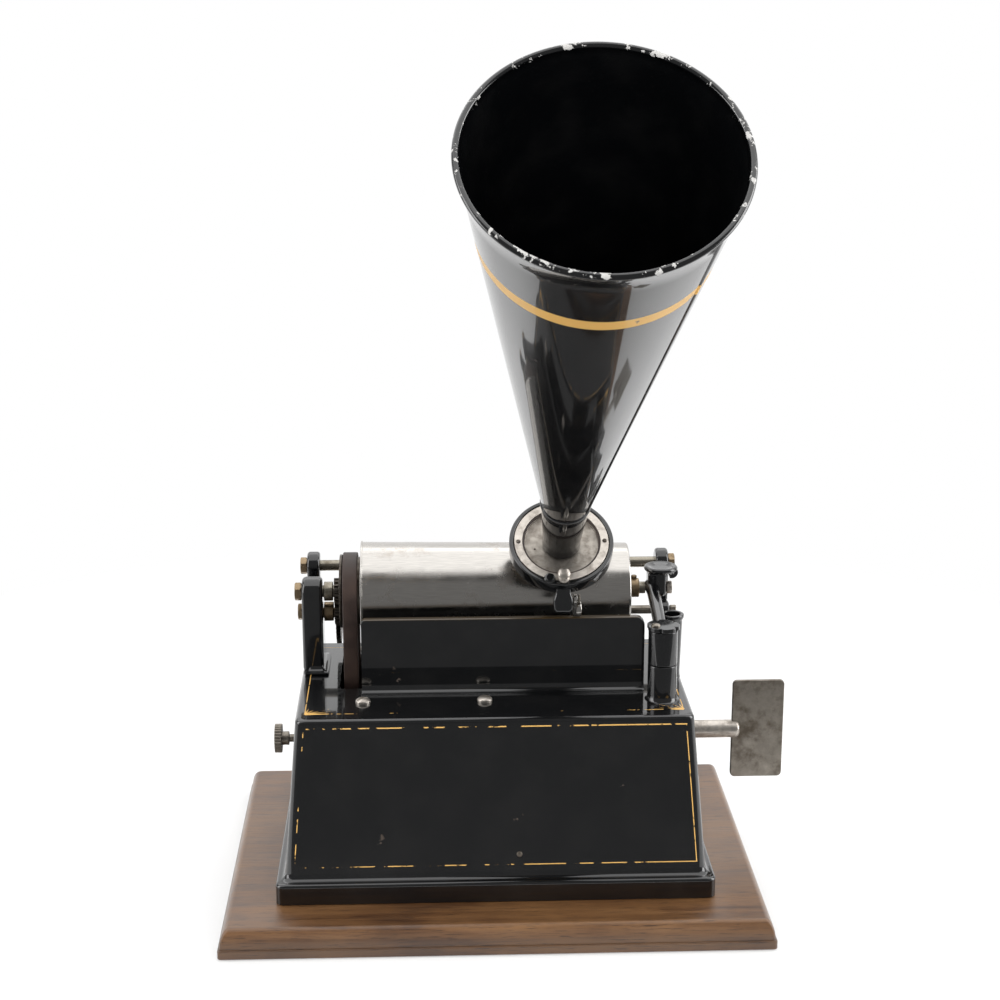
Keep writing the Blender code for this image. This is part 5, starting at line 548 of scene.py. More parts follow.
def woodMaterial(name):
    # Varnished oak: rings and short dark pores drawn out along X, paler where it is rubbed
    # and darker on the low strip
    material, shader = startMaterial(name, (0.2, 0.1, 0.045), 0.4, Coat_Weight=0.6,
                                     Coat_Roughness=0.30)
    rings = objectCoords(material, (1.5, 30, 30)).noise(7, 5, 0.6, 0.8)
    pores = objectCoords(material, (14, 330, 330)).noise(6, 3, 0.7)
    rubbed = objectCoords(material, (1, 1.6, 2)).noise(16, 6, 0.6)
    tone = rings.ramp((0.28, (0.046, 0.017, 0.006)), (0.48, (0.115, 0.050, 0.017)),
                      (0.74, (0.185, 0.088, 0.031)))
    tone = rubbed.ramp((0.42, 0), (0.70, 0.75)).mix(tone, (0.24, 0.118, 0.042))
    tone = rubbed.ramp((0.30, 0.55), (0.42, 0)).mix(tone, (0.038, 0.017, 0.008))
    rise = objectCoords(material).axes()[2]
    tone = rise.mapped(0.006, 0.0115, 0.52, 0.0).mix(tone, (0.030, 0.015, 0.007))
    tone = pores.ramp((0.56, 0), (0.66, 0.8)).mix(tone, (0.018, 0.008, 0.005))
    tone.to(shader, "Base Color")
    rings.ramp((0.3, 0.34), (0.7, 0.50)).to(shader, "Roughness")
    (rings + pores * -1.2).bump(shader, 0.22, 0.0004)
    return material


def leatherMaterial(name):
    # Belt leather: fine pebbling over darker and paler patches
    material, shader = startMaterial(name, (0.042, 0.025, 0.018), 0.5)
    coords = objectCoords(material)
    patch = coords.noise(60, 4)
    tone = patch.ramp((0.3, (0.016, 0.010, 0.009)), (0.7, (0.050, 0.031, 0.024)))
    tone.to(shader, "Base Color")
    patch.ramp((0.3, 0.38), (0.7, 0.62)).to(shader, "Roughness")
    coords.noise(900, 4, 0.6).bump(shader, 0.35, 0.0003)
    return material


enamel = enamelMaterial("blackEnamel")
caseEnamel = enamelMaterial("caseEnamel", caseGold)
hornEnamel = enamelMaterial("hornEnamel", hornGold, hornChips)
nickel = metalMaterial("brightNickel", (0.62, 0.595, 0.56), (0.30, 0.23, 0.17), 0.13, 0.21,
                       (0.3, 12, 12), 0.04, depth=0.5)
rubbedNickel = metalMaterial("rubbedNickel", (0.66, 0.61, 0.55), (0.19, 0.155, 0.125), 0.34,
                             0.42, lines=0.2, scale=150, depth=0.6)
satinNickel = metalMaterial("satinNickel", (0.48, 0.44, 0.39), (0.17, 0.14, 0.115), 0.40, 0.50,
                            lines=0.2, scale=130, depth=0.6)
agedNickel = metalMaterial("agedNickel", (0.31, 0.28, 0.24), (0.12, 0.095, 0.07), 0.40, 0.38,
                           lines=0.15, scale=80, depth=0.8)
rodNickel = metalMaterial("rodNickel", (0.36, 0.33, 0.27), (0.13, 0.10, 0.07), 0.36, 0.28,
                          (0.3, 10, 10), 0.10, 90, 0.8)
brass = metalMaterial("turnedBrass", (0.36, 0.27, 0.17), (0.12, 0.085, 0.055), 0.42, 0.38,
                      (10, 1, 1), 0.10, 160, 0.8)
bronze = metalMaterial("darkBronze", (0.17, 0.15, 0.13), (0.05, 0.040, 0.032), 0.45, 0.36,
                       scale=120)
steel = metalMaterial("oiledSteel", (0.42, 0.41, 0.40), (0.10, 0.08, 0.07), 0.35, 0.30)
oak = woodMaterial("varnishedOak")
leather = leatherMaterial("beltLeather")

# CAD nodes that show as they are; all others are steel or give way to a piece below
shownNodes = {
    "feed_pivot_screw": agedNickel, "feed_arm": agedNickel, "feed_screw": agedNickel,
    "floating_weight": brass, "barrel_cover": brass, "spring_barrel": brass,
    "great_wheel": brass, "mandrel_gear": bronze, "idler_gear": bronze, "feed_gear": bronze,
    "drive_pulley": bronze}
for node, thing in frame["nodes"].items():
    thing.data.materials.clear()
    thing.data.materials.append(shownNodes.get(node, steel))
print("materials on", len(frame["nodes"]), "nodes")

# Wooden board: a square strip, then a quarter round up to the flat top
board = {"strip": 0.0042, "groove": 0.0008, "topInset": 0.0052, "corner": 0.0015,
         "round": 0.0006, "sinkRadius": 0.0045, "sinkDepth": 0.0030}
boardHigh = box("base_board")[1]
strip, groove, rounding = board["strip"], board["groove"], board["round"]
loops = [(rounding, 0)]
loops += [(fade(rounding, a), grow(rounding, a)) for a in quarter(4)]
loops += [(grow(rounding, a), strip - fade(rounding, a)) for a in quarter(4)]
loops += [(groove, strip)]
loops += [(groove + grow(board["topInset"] - groove, a),
           strip + (boardHigh.z - strip) * math.sin(a)) for a in quarter(12)[1:]]
mesh = gridMesh("mouldedBoard", [levelLoop(boardHigh.x - inset, boardHigh.y - inset,
                                           board["corner"], z) for inset, z in loops], caps=True)
for i in range(1, 5):
    low, high = box(f"wood_screw_{i}")
    sink = stepped((-gap, board["sinkDepth"]), (board["sinkRadius"],))
    mesh = carved(mesh, turnedMesh("sink", sink, ((low.x + high.x) / 2, (low.y + high.y) / 2, 0),
                                   alongZ, coarse, 0))
finishPiece("mouldedBoard", mesh, oak, "stand", ["base_board"], 30, flats=True)
print("board")

# Case casting: inside wall, foot, flare, straight slope and rounded deck edge in one loft


def bodyHalf(z):
    share = (z - case["floor"]) / case["height"]
    wide, deep = case["footX"] - case["flare"], case["footY"] - case["flare"]
    return wide + (case["deckX"] - wide) * share, deep + (case["deckY"] - deep) * share


def edgeLoops(halfX, halfY, radius, top, steps):
    # The rounded upper edge of a rectangle
    return [levelLoop(halfX - grow(radius, a), halfY - grow(radius, a), case["corner"],
                      top - fade(radius, a)) for a in quarter(steps)]


def caseMesh():
    corner, flare, wall = case["corner"], case["flare"], case["wall"]
    loops = []
    for z in (deckTop - case["deck"], case["floor"]):
        wide, deep = bodyHalf(z)
        loops.append(levelLoop(wide - wall, deep - wall, corner / 2, z))
    footTop = case["floor"] + case["footHeight"]
    loops.append(levelLoop(case["footX"], case["footY"], corner, case["floor"]))
    loops += edgeLoops(case["footX"], case["footY"], case["footEdge"], footTop, 6)
    wide, deep = bodyHalf(footTop + flare)
    outX = case["footX"] - case["footEdge"] - wide
    outY = case["footY"] - case["footEdge"] - deep
    loops += [levelLoop(wide + fade(outX, a), deep + fade(outY, a), corner,
                        footTop + grow(flare, a)) for a in quarter()]
    rise = deckTop - case["edge"] - footTop - flare
    for step in range(1, 13):
        z = footTop + flare + rise * step / 12
        loops.append(levelLoop(*bodyHalf(z), corner, z))
    loops += edgeLoops(case["deckX"], case["deckY"], case["edge"], deckTop, 8)
    return gridMesh("caseShell", loops, caps=True)


def apronMesh():
    # Sections across the panel, one for each place along X; the top falls away at both ends
    # as a quarter circle does
    low, edge = deckTop - gap, apron["edge"]
    front, back = apron["front"], apron["front"] + apron["thickness"]
    fillet, backFillet = apron["fillet"], apron["backFillet"]
    stations = [apron["left"] + grow(apron["leftCorner"], a) for a in quarter(10)]
    stations += [apron["right"] - fade(apron["rightCorner"], a) for a in quarter(12)]
    rows = []
    for x in stations:
        top = apron["top"]
        for end in ("left", "right"):
            radius = apron[end + "Corner"]
            past = radius - abs(x - apron[end])
            if past > 0:
                top = apron["top"] - (radius - math.sqrt(max(radius ** 2 - past ** 2, 0)))
        section = [(front - fillet, low)]
        section += [(front - fade(fillet, a), deckTop + grow(fillet, a)) for a in quarter()]
        section += [(front + grow(edge, a), top - fade(edge, a)) for a in quarter(6)]
        section += [(back - fade(edge, a), top - grow(edge, a)) for a in quarter(6)]
        section += [(back + grow(backFillet, a), deckTop + fade(backFillet, a))
                    for a in quarter(6)]
        section += [(back + backFillet, low)]
        rows.append([(x, y, z) for y, z in section])
    return gridMesh("apronPanel", rows, caps=True)


# The belt's slot in the deck, and the side holes as (radius, where it starts)
slot = {"left": -0.0705, "right": -0.0588, "front": -0.013, "back": 0.0345, "corner": 0.003}
sideHoles = {"length": 0.016, "places": ((0.0045, (0.080, 0.0, 0.0678)),
                                         (0.0021, (-0.096, -0.008, 0.0695)))}
loop = levelLoop((slot["right"] - slot["left"]) / 2, (slot["back"] - slot["front"]) / 2,
                 slot["corner"], 0, ((slot["left"] + slot["right"]) / 2,
                                     (slot["front"] + slot["back"]) / 2))
mesh = carved(caseMesh(), outlineMesh("slotTool", [point[:2] for point in loop],
                                      deckTop - case["deck"] - gap, deckTop + gap, "Z"))
for radius, start in sideHoles["places"]:
    mesh = carved(mesh, turnedMesh("sideHole", stepped((0, sideHoles["length"]), (radius,)),
                                   start, alongX, coarse, 0))
mesh = carved(mesh, apronMesh(), "UNION")
finishPiece("caseShell", mesh, caseEnamel, "stand", ["case_casting"], 30, flats=True)
print("case")

# Posts cast on the deck
post = {"radius": 0.0066, "foot": 0.0080, "skirt": 0.0082, "spread": 0.0014, "fillet": 0.0028,
        "top": 0.1123, "bore": 0.0027, "boreFloor": 0.1080, "round": 0.0006}
hinge = Vector((0.0764, -0.0305, 0))
profile = [(0, deckTop - gap), (post["skirt"], deckTop - gap), (post["foot"], deckTop)]
profile += [(post["radius"] + fade(post["spread"], a), deckTop + grow(post["fillet"], a))
            for a in quarter()]
profile += [(post["radius"], post["top"]), (post["bore"], post["top"]),
            (post["bore"], post["boreFloor"]), (0, post["boreFloor"])]
turned("hingePost", profile, hinge, alongZ, enamel, "stand", soft=post["round"])
# foot is (radius, height over the deck); stem, head and socket are (radius, height)
latch = {"place": (0.0840, -0.0017, 0), "foot": ((0, -gap), (0.0046, -gap), (0.0043, 0.001),
                                                 (0.0042, 0.003)),
         "head": ((0.0049, 0.1234), (0.0056, 0.1248), (0.0056, 0.1262)),
         "socket": ((0.0038, 0.1262), (0.0036, 0.1142), (0, 0.1142)), "round": 0.0005}
profile = [(radius, deckTop + rise) for radius, rise in latch["foot"]]
profile += [*latch["head"], *latch["socket"]]
turned("latchPost", profile, latch["place"], alongZ, enamel, "stand", soft=latch["round"])
print("posts")

# Mandrel and what turns with it, on the mandrel's axis
spindle = jointLine("mandrel_spin")


def onSpindle(name, profile, material, node, **options):
    turned(name, profile, spindle, alongX, material, "mandrel_set", [node], **options)


def slotted(mesh, reach, half, low, high, middle=Vector()):
    # A screw's slot: reach is half its length and half is half its width
    return carved(mesh, boxMesh("slot", middle + Vector((-reach, -half, low)),
                                middle + Vector((reach, half, high))))


# places are along X from the middle plane, here and for all pieces that turn about X
mandrel = {"left": -0.0605, "lipEnd": -0.0596, "right": 0.0646, "lip": 0.02345,
           "wide": 0.0230, "narrow": 0.0213, "bore": 0.0030, "endBore": 0.0031,
           "endWall": 0.0006, "round": 0.0011}
profile = [(mandrel["bore"], mandrel["left"]), (mandrel["lip"], mandrel["left"]),
           (mandrel["lip"], mandrel["lipEnd"]), (mandrel["wide"], mandrel["lipEnd"]),
           (mandrel["narrow"], mandrel["right"]), (mandrel["endBore"], mandrel["right"]),
           (mandrel["endBore"], mandrel["right"] - mandrel["endWall"])]
onSpindle("mandrelSleeve", profile, nickel, "mandrel", steps=256, soft=mandrel["round"])
shaft = {"places": (-0.0881, -0.0780, -0.0739, 0.0731), "radii": (0.0028, 0.0045, 0.0028)}
dimple = 0.0016
shaftEnd = shaft["places"][-1]
onSpindle("mandrelShaft", stepped(**shaft)[:-1] + [(dimple, shaftEnd), (0, shaftEnd - dimple)],
          rodNickel, "mandrel_shaft", steps=96)
pulley = {"places": (-0.0708, -0.0704, -0.0692, -0.0608), "radii": (0.0045, 0.0172, 0.0160),
          "bore": 0.0031}
onSpindle("mandrelPulley", stepped(**pulley), bronze, "mandrel_pulley")
collar = {"places": (0.0655, 0.0701), "radii": (0.0045,), "bore": 0.0031}
onSpindle("endCollar", stepped(**collar), brass, "mandrel_collar", soft=0.0005)
setScrew = {"radius": 0.0013, "length": 0.0024, "reach": 0.002, "half": 0.0003,
            "depth": 0.0006, "round": 0.0004}
low, high = box("mandrel_collar")
middle = Vector(((low.x + high.x) / 2, spindle.y, 0))
mesh = turnedMesh("setScrew", stepped((high.z, high.z - setScrew["length"]),
                                      (setScrew["radius"],)), middle, alongZ, coarse,
                  setScrew["round"])
mesh = slotted(mesh, setScrew["reach"], setScrew["half"], high.z - setScrew["depth"],
               high.z + gap, middle)
finishPiece("setScrew", mesh, brass, "mandrel_set", (), 40)
print("mandrel")

# Belt: a closed band whose section has rounded edges, round both pulleys
belt = {"left": -0.0689, "right": -0.0620, "thickness": 0.0019, "top": 0.0163,
        "bottom": 0.0113, "round": 0.0007}
driveAxis = jointLine("drive_spin")
section = softCorners([(0, belt["left"]), (belt["thickness"], belt["left"]),
                       (belt["thickness"], belt["right"]), (0, belt["right"])],
                      belt["round"], closed=True)
rows = [[(x, y, z) for y, z in hullPoints(spindle.yz, belt["top"] + out, driveAxis.yz,
                                          belt["bottom"] + out, 64)] for out, x in section]
finishPiece("driveBelt", gridMesh("driveBelt", rows, wrapRows=True), leather, "stand",
            ["drive_belt"], 60)

# Back rod, and the hexagonal nuts on it, on the bearing and on the idler's stud
rodAxis = jointLine("carriage_slide")
idlerAxis = jointLine("idler_spin")
low, high = box("back_rod")
turned("backRod", stepped((low.x, high.x), (0.0026,)), rodAxis, alongX, rodNickel, "stand",
       ["back_rod"], steps=96, soft=0.0006)


def hexNut(name, axis, x0, x1, radius, replaced=()):
    # Six flats whose corners are turned off by a cone at both ends
    flats = [(axis.y + radius * math.cos(math.radians(60 * i + 30)),
              axis.z + radius * math.sin(math.radians(60 * i + 30))) for i in range(6)]
    chamfer = grow(radius, math.radians(30))
    cone = turnedMesh("chamfer", [(0, x0), (radius - chamfer, x0), (radius + gap, x0 + chamfer),
                                  (radius + gap, x1 - chamfer), (radius - chamfer, x1), (0, x1)],
                      axis, alongX, fine, 0)
    mesh = carved(outlineMesh(name, flats, x0, x1), cone, "INTERSECT")
    finishPiece(name, mesh, brass, "stand", replaced, 25, 0.00012)


hexNut("rodNutLeft", rodAxis, -0.0908, -0.0878, 0.0042)
hexNut("rodNutRight", rodAxis, 0.0878, 0.0908, 0.0042)
hexNut("bearingNut", spindle, -0.0917, -0.0887, 0.0044, ["bearing_nut"])
hexNut("studNut", idlerAxis, -0.0906, -0.0887, 0.0040)
stud = {"places": (-0.0887, -0.0783, -0.0739, -0.0711), "radii": (0.0018, 0.0045, 0.0018)}
turned("idlerStud", stepped(**stud), idlerAxis, alongX, brass, "stand", ["idler_stud"], steps=96)

flange = {"hollow": 0.0024, "rim": 0.0011, "chamfer": 0.0003, "lip": 0.0004,
          "lipInset": 0.0002, "corner": 0.0012}


def castFoot(name, x0, x1, y0, y1):
    # Flange: a short upright rim, then a hollow that sweeps up into the wall above
    rim, chamfer, hollow = flange["rim"], flange["chamfer"], flange["hollow"]
    rows = [(chamfer, 0), (0, chamfer), (0, rim - flange["lip"]), (flange["lipInset"], rim)]
    rows += [(chamfer + hollow * math.sin(a), rim + grow(hollow, a)) for a in quarter(10)]
    loops = [levelLoop((x1 - x0) / 2 - inset, (y1 - y0) / 2 - inset, flange["corner"],
                       deckTop + gap + rise, ((x0 + x1) / 2, (y0 + y1) / 2))
             for inset, rise in rows]
    finishPiece(name, gridMesh(name, loops, caps=True), enamel, "stand")


# Bearing bracket, and the two standards of the back rod, with well rounded edges
bracket = {"left": -0.0884, "right": -0.0786, "front": 0.0080, "back": 0.0320, "head": 0.0070,
           "round": 0.0021, "foot": (-0.0881, -0.0763, 0.0052, 0.0334)}
outline = [(bracket["front"], deckTop + gap), (bracket["back"], deckTop + gap)]
outline += arcPoints(spindle.y, spindle.z, bracket["head"], 15, 180, 40)
finishPiece("bearingBracket", outlineMesh("bearingBracket", outline, bracket["left"],
                                          bracket["right"]),
            enamel, "stand", ["bearing_bracket"], bevel=bracket["round"])
castFoot("bracketFoot", *bracket["foot"])
feedAxis = jointLine("feed_spin")
standard = {"inner": 0.0813, "outer": 0.0875, "eye": 0.0068, "foot": 0.0041, "boss": 0.0042,
            "webEnd": 0.0034, "round": 0.0014, "bossRound": 0.0009, "flange": 0.0007,
            "front": 0.0415, "back": 0.0503}
for side, node in ((-1, "left"), (1, "right")):
    x0, x1 = sorted((side * standard["inner"], side * standard["outer"]))
    outline = hullPoints(rodAxis.yz, standard["eye"],
                         (rodAxis.y, deckTop + gap + standard["foot"]), standard["foot"], 40)
    finishPiece("rodStandard" + node.title(), outlineMesh("rodStandard", outline, x0, x1),
                enamel, "stand", ["rod_standard_" + node], bevel=standard["round"])
    outline = hullPoints(feedAxis.yz, standard["boss"], (rodAxis.y, feedAxis.z),
                         standard["webEnd"], 40)
    finishPiece("standardBoss" + node.title(),
                outlineMesh("standardBoss", outline, x0 + gap, x1 - gap), enamel, "stand",
                bevel=standard["bossRound"])
    castFoot("standardFoot" + node.title(), x0 - standard["flange"], x1 + standard["flange"],
             standard["front"], standard["back"])
print("rods and nuts")

# Carriage sleeve on the back rod
sleeve = {"places": (0.0096, 0.0126, 0.0506, 0.0536), "radii": (0.0060, 0.0044, 0.0060),
          "bore": 0.0029}
turned("carriageSleeve", stepped(**sleeve), rodAxis, alongX, agedNickel, "carriage",
       ["carriage_sleeve"], closed=True, soft=0.0005)

# Carrier arm: hub on the sleeve, a bar that climbs round the mandrel, and the eye
eyeAxis = Vector(joints["horn_swivel"]["axis"])
eyeUp = Vector((0, eyeAxis.z, -eyeAxis.y))
throat = {"radius": 0.0058, "bore": 0.0042, "top": 0.0024}
eye = jointPoint("horn_swivel") - eyeAxis * throat["top"]
eyeSize = {"radius": 0.0238, "wall": 0.0020, "thickness": 0.0070, "ledge": 0.0016,
           "seat": 0.0059}
arm = {"width": 0.0130, "thickness": 0.0052, "root": 0.0355, "head": 0.0410, "round": 0.0015}
hub = {"places": (0.0226, 0.0406), "radii": (0.0076,), "bore": 0.0047}
turned("carrierHub", stepped(**hub), rodAxis, alongX, enamel, "carrier", ["carrier_arm"],
       closed=True, soft=0.0007)


def onEye(name, profile, material, nodes=(), centre=eye, steps=192, **options):
    turned(name, profile, centre, eyeAxis, material, "carrier", nodes, steps=steps, **options)


wide = eyeSize["radius"] - eyeSize["wall"]
narrow = wide - eyeSize["ledge"]
onEye("carrierEye", [(eyeSize["radius"], -eyeSize["thickness"]), (eyeSize["radius"], 0),
                     (wide, 0), (wide, -eyeSize["seat"]), (narrow, -eyeSize["seat"]),
                     (narrow, -eyeSize["thickness"])], enamel, closed=True, soft=0.0007)


def armRows():
    # Section centres lie at root + (head - root) * share from the mandrel's axis while the
    # angle runs from the hub to the eye's rim
    start = math.atan2(rodAxis.z - spindle.z, rodAxis.y - spindle.y)
    tilt = math.asin(eyeAxis.z)
    end = math.pi - tilt - math.asin((eyeSize["radius"] - eyeSize["wall"] / 2) / arm["head"])
    half, thick = arm["width"] / 2, arm["thickness"] / 2
    section = softCorners([(-half, -thick), (half, -thick), (half, thick), (-half, thick)],
                          arm["round"], closed=True)
    rows = []
    for share in np.linspace(0, 1, 40):
        angle = start + (end - start) * share
        middle = arm["root"] + (arm["head"] - arm["root"]) * share
        rows.append([(eye.x + across, spindle.y + (middle + out) * math.cos(angle),
                      spindle.z + (middle + out) * math.sin(angle)) for across, out in section])
    return rows


finishPiece("carrierBar", gridMesh("carrierBar", armRows(), caps=True), enamel, "carrier", (), 60)
# waist: (share of the height, share of the half widths), full below and narrow near the top
lug = {"place": (0.0316, -0.0240), "halfX": 0.0045, "halfY": 0.0025, "low": 0.1348,
       "high": 0.1480, "corner": 0.0016,
       "waist": ((0, 0.45), (0.015, 0.66), (0.05, 0.84), (0.11, 0.96), (0.20, 1), (0.42, 1),
                 (0.52, 0.97), (0.62, 0.86), (0.72, 0.76), (0.84, 0.74), (1, 0.80))}
rows = [levelLoop(lug["halfX"] * swell, lug["halfY"] * swell, lug["corner"] * swell,
                  lug["low"] + (lug["high"] - lug["low"]) * share, lug["place"])
        for share, swell in lug["waist"]]
finishPiece("frontLug", gridMesh("frontLug", rows, caps=True), enamel, "carrier")
pivot = jointLine("lever_turn")
pin = {"places": (0.0350, 0.0383, 0.0393), "radii": (0.0010, 0.0022)}
turned("leverPin", stepped(**pin), pivot, alongX, agedNickel, "carrier", steps=coarse)
lever = {"left": 0.0364, "right": 0.0380, "hub": 0.0022, "lobe": 0.0036, "back": 0.0060,
         "down": 0.0064, "lobeRight": 0.0404, "edge": 0.0003, "round": 0.0007}
lobe = (pivot.y + lever["back"], pivot.z - lever["down"])
outline = hullPoints(pivot.yz, lever["hub"], lobe, lever["lobe"])
finishPiece("liftLever", outlineMesh("liftLever", outline, lever["left"], lever["right"]),
            nickel, "lever", ["lift_lever"], bevel=lever["edge"])
turned("leverLobe", stepped((lever["left"] + gap, lever["lobeRight"]), (lever["lobe"],)),
       (0, *lobe), alongX, nickel, "lever", soft=lever["round"])
print("carrier")

# Reproducer, turned about the eye's axis: body with a dark groove, plate, throat and ring.
# Heights are along that axis from the eye's upper face
ring = {"inner": 0.0178, "outer": 0.0215, "thickness": 0.0012}
sound = {"under": -0.0036, "skirt": -0.0056, "ledge": -0.0015, "plate": -0.0026,
         "inside": 0.0168, "plateRadius": 0.0169}
profile = [(throat["bore"], throat["top"]), (throat["bore"], sound["under"]),
           (sound["inside"], sound["under"]), (sound["inside"], sound["skirt"]),
           (ring["outer"], sound["skirt"]), (ring["outer"], sound["ledge"]),
           (sound["plateRadius"], sound["ledge"]), (sound["plateRadius"], sound["plate"]),
           (throat["radius"], sound["plate"]), (throat["radius"], throat["top"])]
mesh = turnedMesh("soundBox", profile, eye, eyeAxis, 192, 0.0003, True)


def onPlate(size):
    return eye + Vector(alongX) * size["across"] + eyeUp * size["up"]


# A small sight hole in the plate
vent = {"across": -0.0122, "up": -0.0026, "radius": 0.00045, "depth": 0.0007}
mesh = carved(mesh, turnedMesh("vent", stepped((sound["plate"] - vent["depth"], 0),
                                               (vent["radius"],)), onPlate(vent), eyeAxis, 24, 0))
finishPiece("soundBox", mesh, satinNickel, "carrier", ["reproducer_body"], 40)
gasket = {"places": (-0.0014, -0.0006), "radii": (0.01775,), "bore": 0.01695}
onEye("ringGasket", stepped(**gasket), leather, closed=True, soft=0.0002)
clip = {"across": -0.0063, "up": -0.0207, "radius": 0.0026, "height": 0.0016, "shoulder": 0.7}
onEye("eyeClip", [(0, gap), (clip["radius"], gap),
                  (clip["radius"], clip["height"] * clip["shoulder"]),
                  (clip["radius"] * clip["shoulder"], clip["height"]), (0, clip["height"])],
      enamel, centre=onPlate(clip), steps=64, soft=0.0005)
onEye("retainingRing", stepped((-ring["thickness"], 0), (ring["outer"],), ring["inner"]),
      rubbedNickel, ["retaining_ring"], closed=True)
# profile: (radius, height)
ringScrew = {"profile": ((0, 0.0005), (0.0009, 0.0004), (0.0011, 0), (0.0011, -0.0006),
                         (0, -0.0006)), "reach": 0.002, "half": 0.00017, "slotLow": 0.0002,
             "slotHigh": 0.001, "turn": 0.5, "round": 0.0002}
for side in (-1, 1):
    place = eye + Vector((side * (ring["inner"] + ring["outer"]) / 2, 0, 0))
    mesh = turnedMesh("ringScrew", ringScrew["profile"], (0, 0, 0), alongZ, coarse,
                      ringScrew["round"])
    mesh = slotted(mesh, ringScrew["reach"], ringScrew["half"], ringScrew["slotLow"],
                   ringScrew["slotHigh"])
    turn = Matrix.Rotation(ringScrew["turn"] * side, 4, "Z")
    seat = Matrix.Translation(place) @ eyeAxis.to_track_quat("Z", "Y").to_matrix().to_4x4() @ turn
    finishPiece("ringScrew", moved(mesh, seat), bronze, "carrier", (), 40)
# shares: of the radius, and of the height
stop = {"radius": 0.0028, "height": 0.0054, "down": 0.02055,
        "shares": ((0, 0), (0.98, 0), (0.94, 0.16), (0.72, 0.30), (0.60, 0.42), (0.68, 0.54),
                   (1, 0.66), (1.04, 0.78), (0.86, 0.92), (0.5, 1), (0, 1.02))}
onEye("stopPost", [(stop["radius"] * a, gap + stop["height"] * b) for a, b in stop["shares"]],
      rubbedNickel, ["stop_post"], eye - eyeUp * stop["down"], 96, soft=0.0004)
print("reproducer")


def ringOf(centre, upward, radius, steps=128):
    turn = np.linspace(0, math.tau, steps, endpoint=False)
    return (np.array(centre) + radius * (np.outer(np.cos(turn), alongX)
                                         + np.outer(np.sin(turn), upward)))


# Horn collar: a socket on the throat's axis that leans over to the horn's own axis
hornCollar = {"low": -0.0020, "edge": -0.0014, "top": 0.0024, "lip": 0.0006, "socket": 0.0027}


def collarRows():
    foot, start, shoulder = horn["footRadius"], horn["start"], horn["shoulder"]
    slope = (shoulder * horn["slope"] - foot) / (shoulder - start)

    def radiusAt(distance):
        # The bead is half a sine wave high
        share = (distance - shoulder + horn["beadStart"]) / horn["beadWide"]
        swell = horn["bead"] * math.sin(math.pi * share) if 0 < share < 1 else 0
        return foot + slope * (distance - start) + swell

    rows = [ringOf(eye + eyeAxis * hornCollar["low"], eyeUp, foot - hornCollar["lip"]),
            ringOf(eye + eyeAxis * hornCollar["edge"], eyeUp, foot),
            ringOf(eye + eyeAxis * hornCollar["top"], eyeUp, foot)]
    rows += [ringOf(apex + hornAxis * d, hornUp, radiusAt(d))
             for d in np.linspace(start, shoulder, 90)]
    rows += [ringOf(apex + hornAxis * d, hornUp, radiusAt(d) - horn["collarWall"])
             for d in (shoulder, start)]
    rows += [ringOf(eye + eyeAxis * along, eyeUp, throat["radius"] + gap)
             for along in (hornCollar["socket"], hornCollar["low"])]
    return rows


finishPiece("hornCollar", gridMesh("hornCollar", collarRows(), wrapRows=True), enamel,
            "horn_set", ["horn_collar"], 35)

# Horn: a straight cone with a wired rim
inner = horn["wall"] / math.cos(math.atan(horn["slope"]))
begin, mouth, slope = horn["shoulder"] + gap, horn["mouth"], horn["slope"]
wire = mouth - horn["wireStart"]
profile = [(begin * slope - inner, begin), (begin * slope, begin)]
profile += [(d * slope, d) for d in np.linspace(begin, wire, 24)[1:]]
profile += arcPoints(mouth * slope, mouth - horn["rim"], horn["rim"], -70, 215, 27)
profile += [(d * slope - inner, d) for d in np.linspace(wire, begin, 24)[:-1]]
finishPiece("hornCone", turnedMesh("hornCone", profile, apex, hornAxis, 256, 0, True),
            hornEnamel, "horn_set", ["horn"])


def seamRows():
    # Half an oval that rides on the cone from end to end, at one turn about the horn's axis
    turn = math.radians(horn["seamTurn"])
    outward = Vector(alongX) * math.cos(turn) - hornUp * math.sin(turn)
    across = hornAxis.cross(outward)
    rows = []
    for distance in np.linspace(horn["shoulder"] + horn["seamStart"],
                                horn["mouth"] - horn["seamEnd"], 60):
        middle = apex + hornAxis * distance + outward * (distance * slope - horn["seamSink"])
        rows.append([middle + across * (horn["seamHalf"] * math.cos(a))
                     + outward * (horn["seamRise"] * math.sin(a))
                     for a in np.linspace(0, math.pi, 15)])
    return rows


finishPiece("hornSeam", gridMesh("hornSeam", seamRows(), caps=True), hornEnamel, "horn_set")
print("horn")

# End gate: hub on the hinge post, round arm, bearing block, dished thumb piece with a curl
gate = {"low": 0.1126, "high": 0.1284, "radius": 0.0066, "arm": 0.0030, "armLow": 0.12405,
        "blockLow": (0.0740, 0.0105, 0.1303), "blockHigh": (0.0828, 0.0195, 0.1423),
        "blockRound": 0.0017, "curl": 0.0029, "curlWall": 0.0017, "curlWide": 0.0053,
        "curlRound": 0.0004}
# dish: (share of the radius, share of the dish's depth)
thumb = {"x": 0.08038, "z": 0.1420, "radius": 0.0079, "thick": 0.0026, "depth": 0.0009,
         "dish": ((0.72, 0.25), (0.45, 1), (0, 1))}
turned("gateHub", stepped((gate["low"], gate["high"]), (gate["radius"],)), hinge, alongZ, enamel,
       "gate", ["end_gate"], soft=0.0004)


def gateArmRows():
    # A round bar whose ends swell by a third where it runs into the hub and the block
    start = Vector((hinge.x, hinge.y + gate["radius"] / 2, gate["armLow"]))
    end = Vector((hinge.x, spindle.y, spindle.z + gate["arm"] / 3))
    upward = Vector(alongX).cross((end - start).normalized())
    return [ringOf(start.lerp(end, share), upward,
                   gate["arm"] * (1 + 0.33 * (2 * share - 1) ** 6), 64)
            for share in np.linspace(0, 1, 40)]


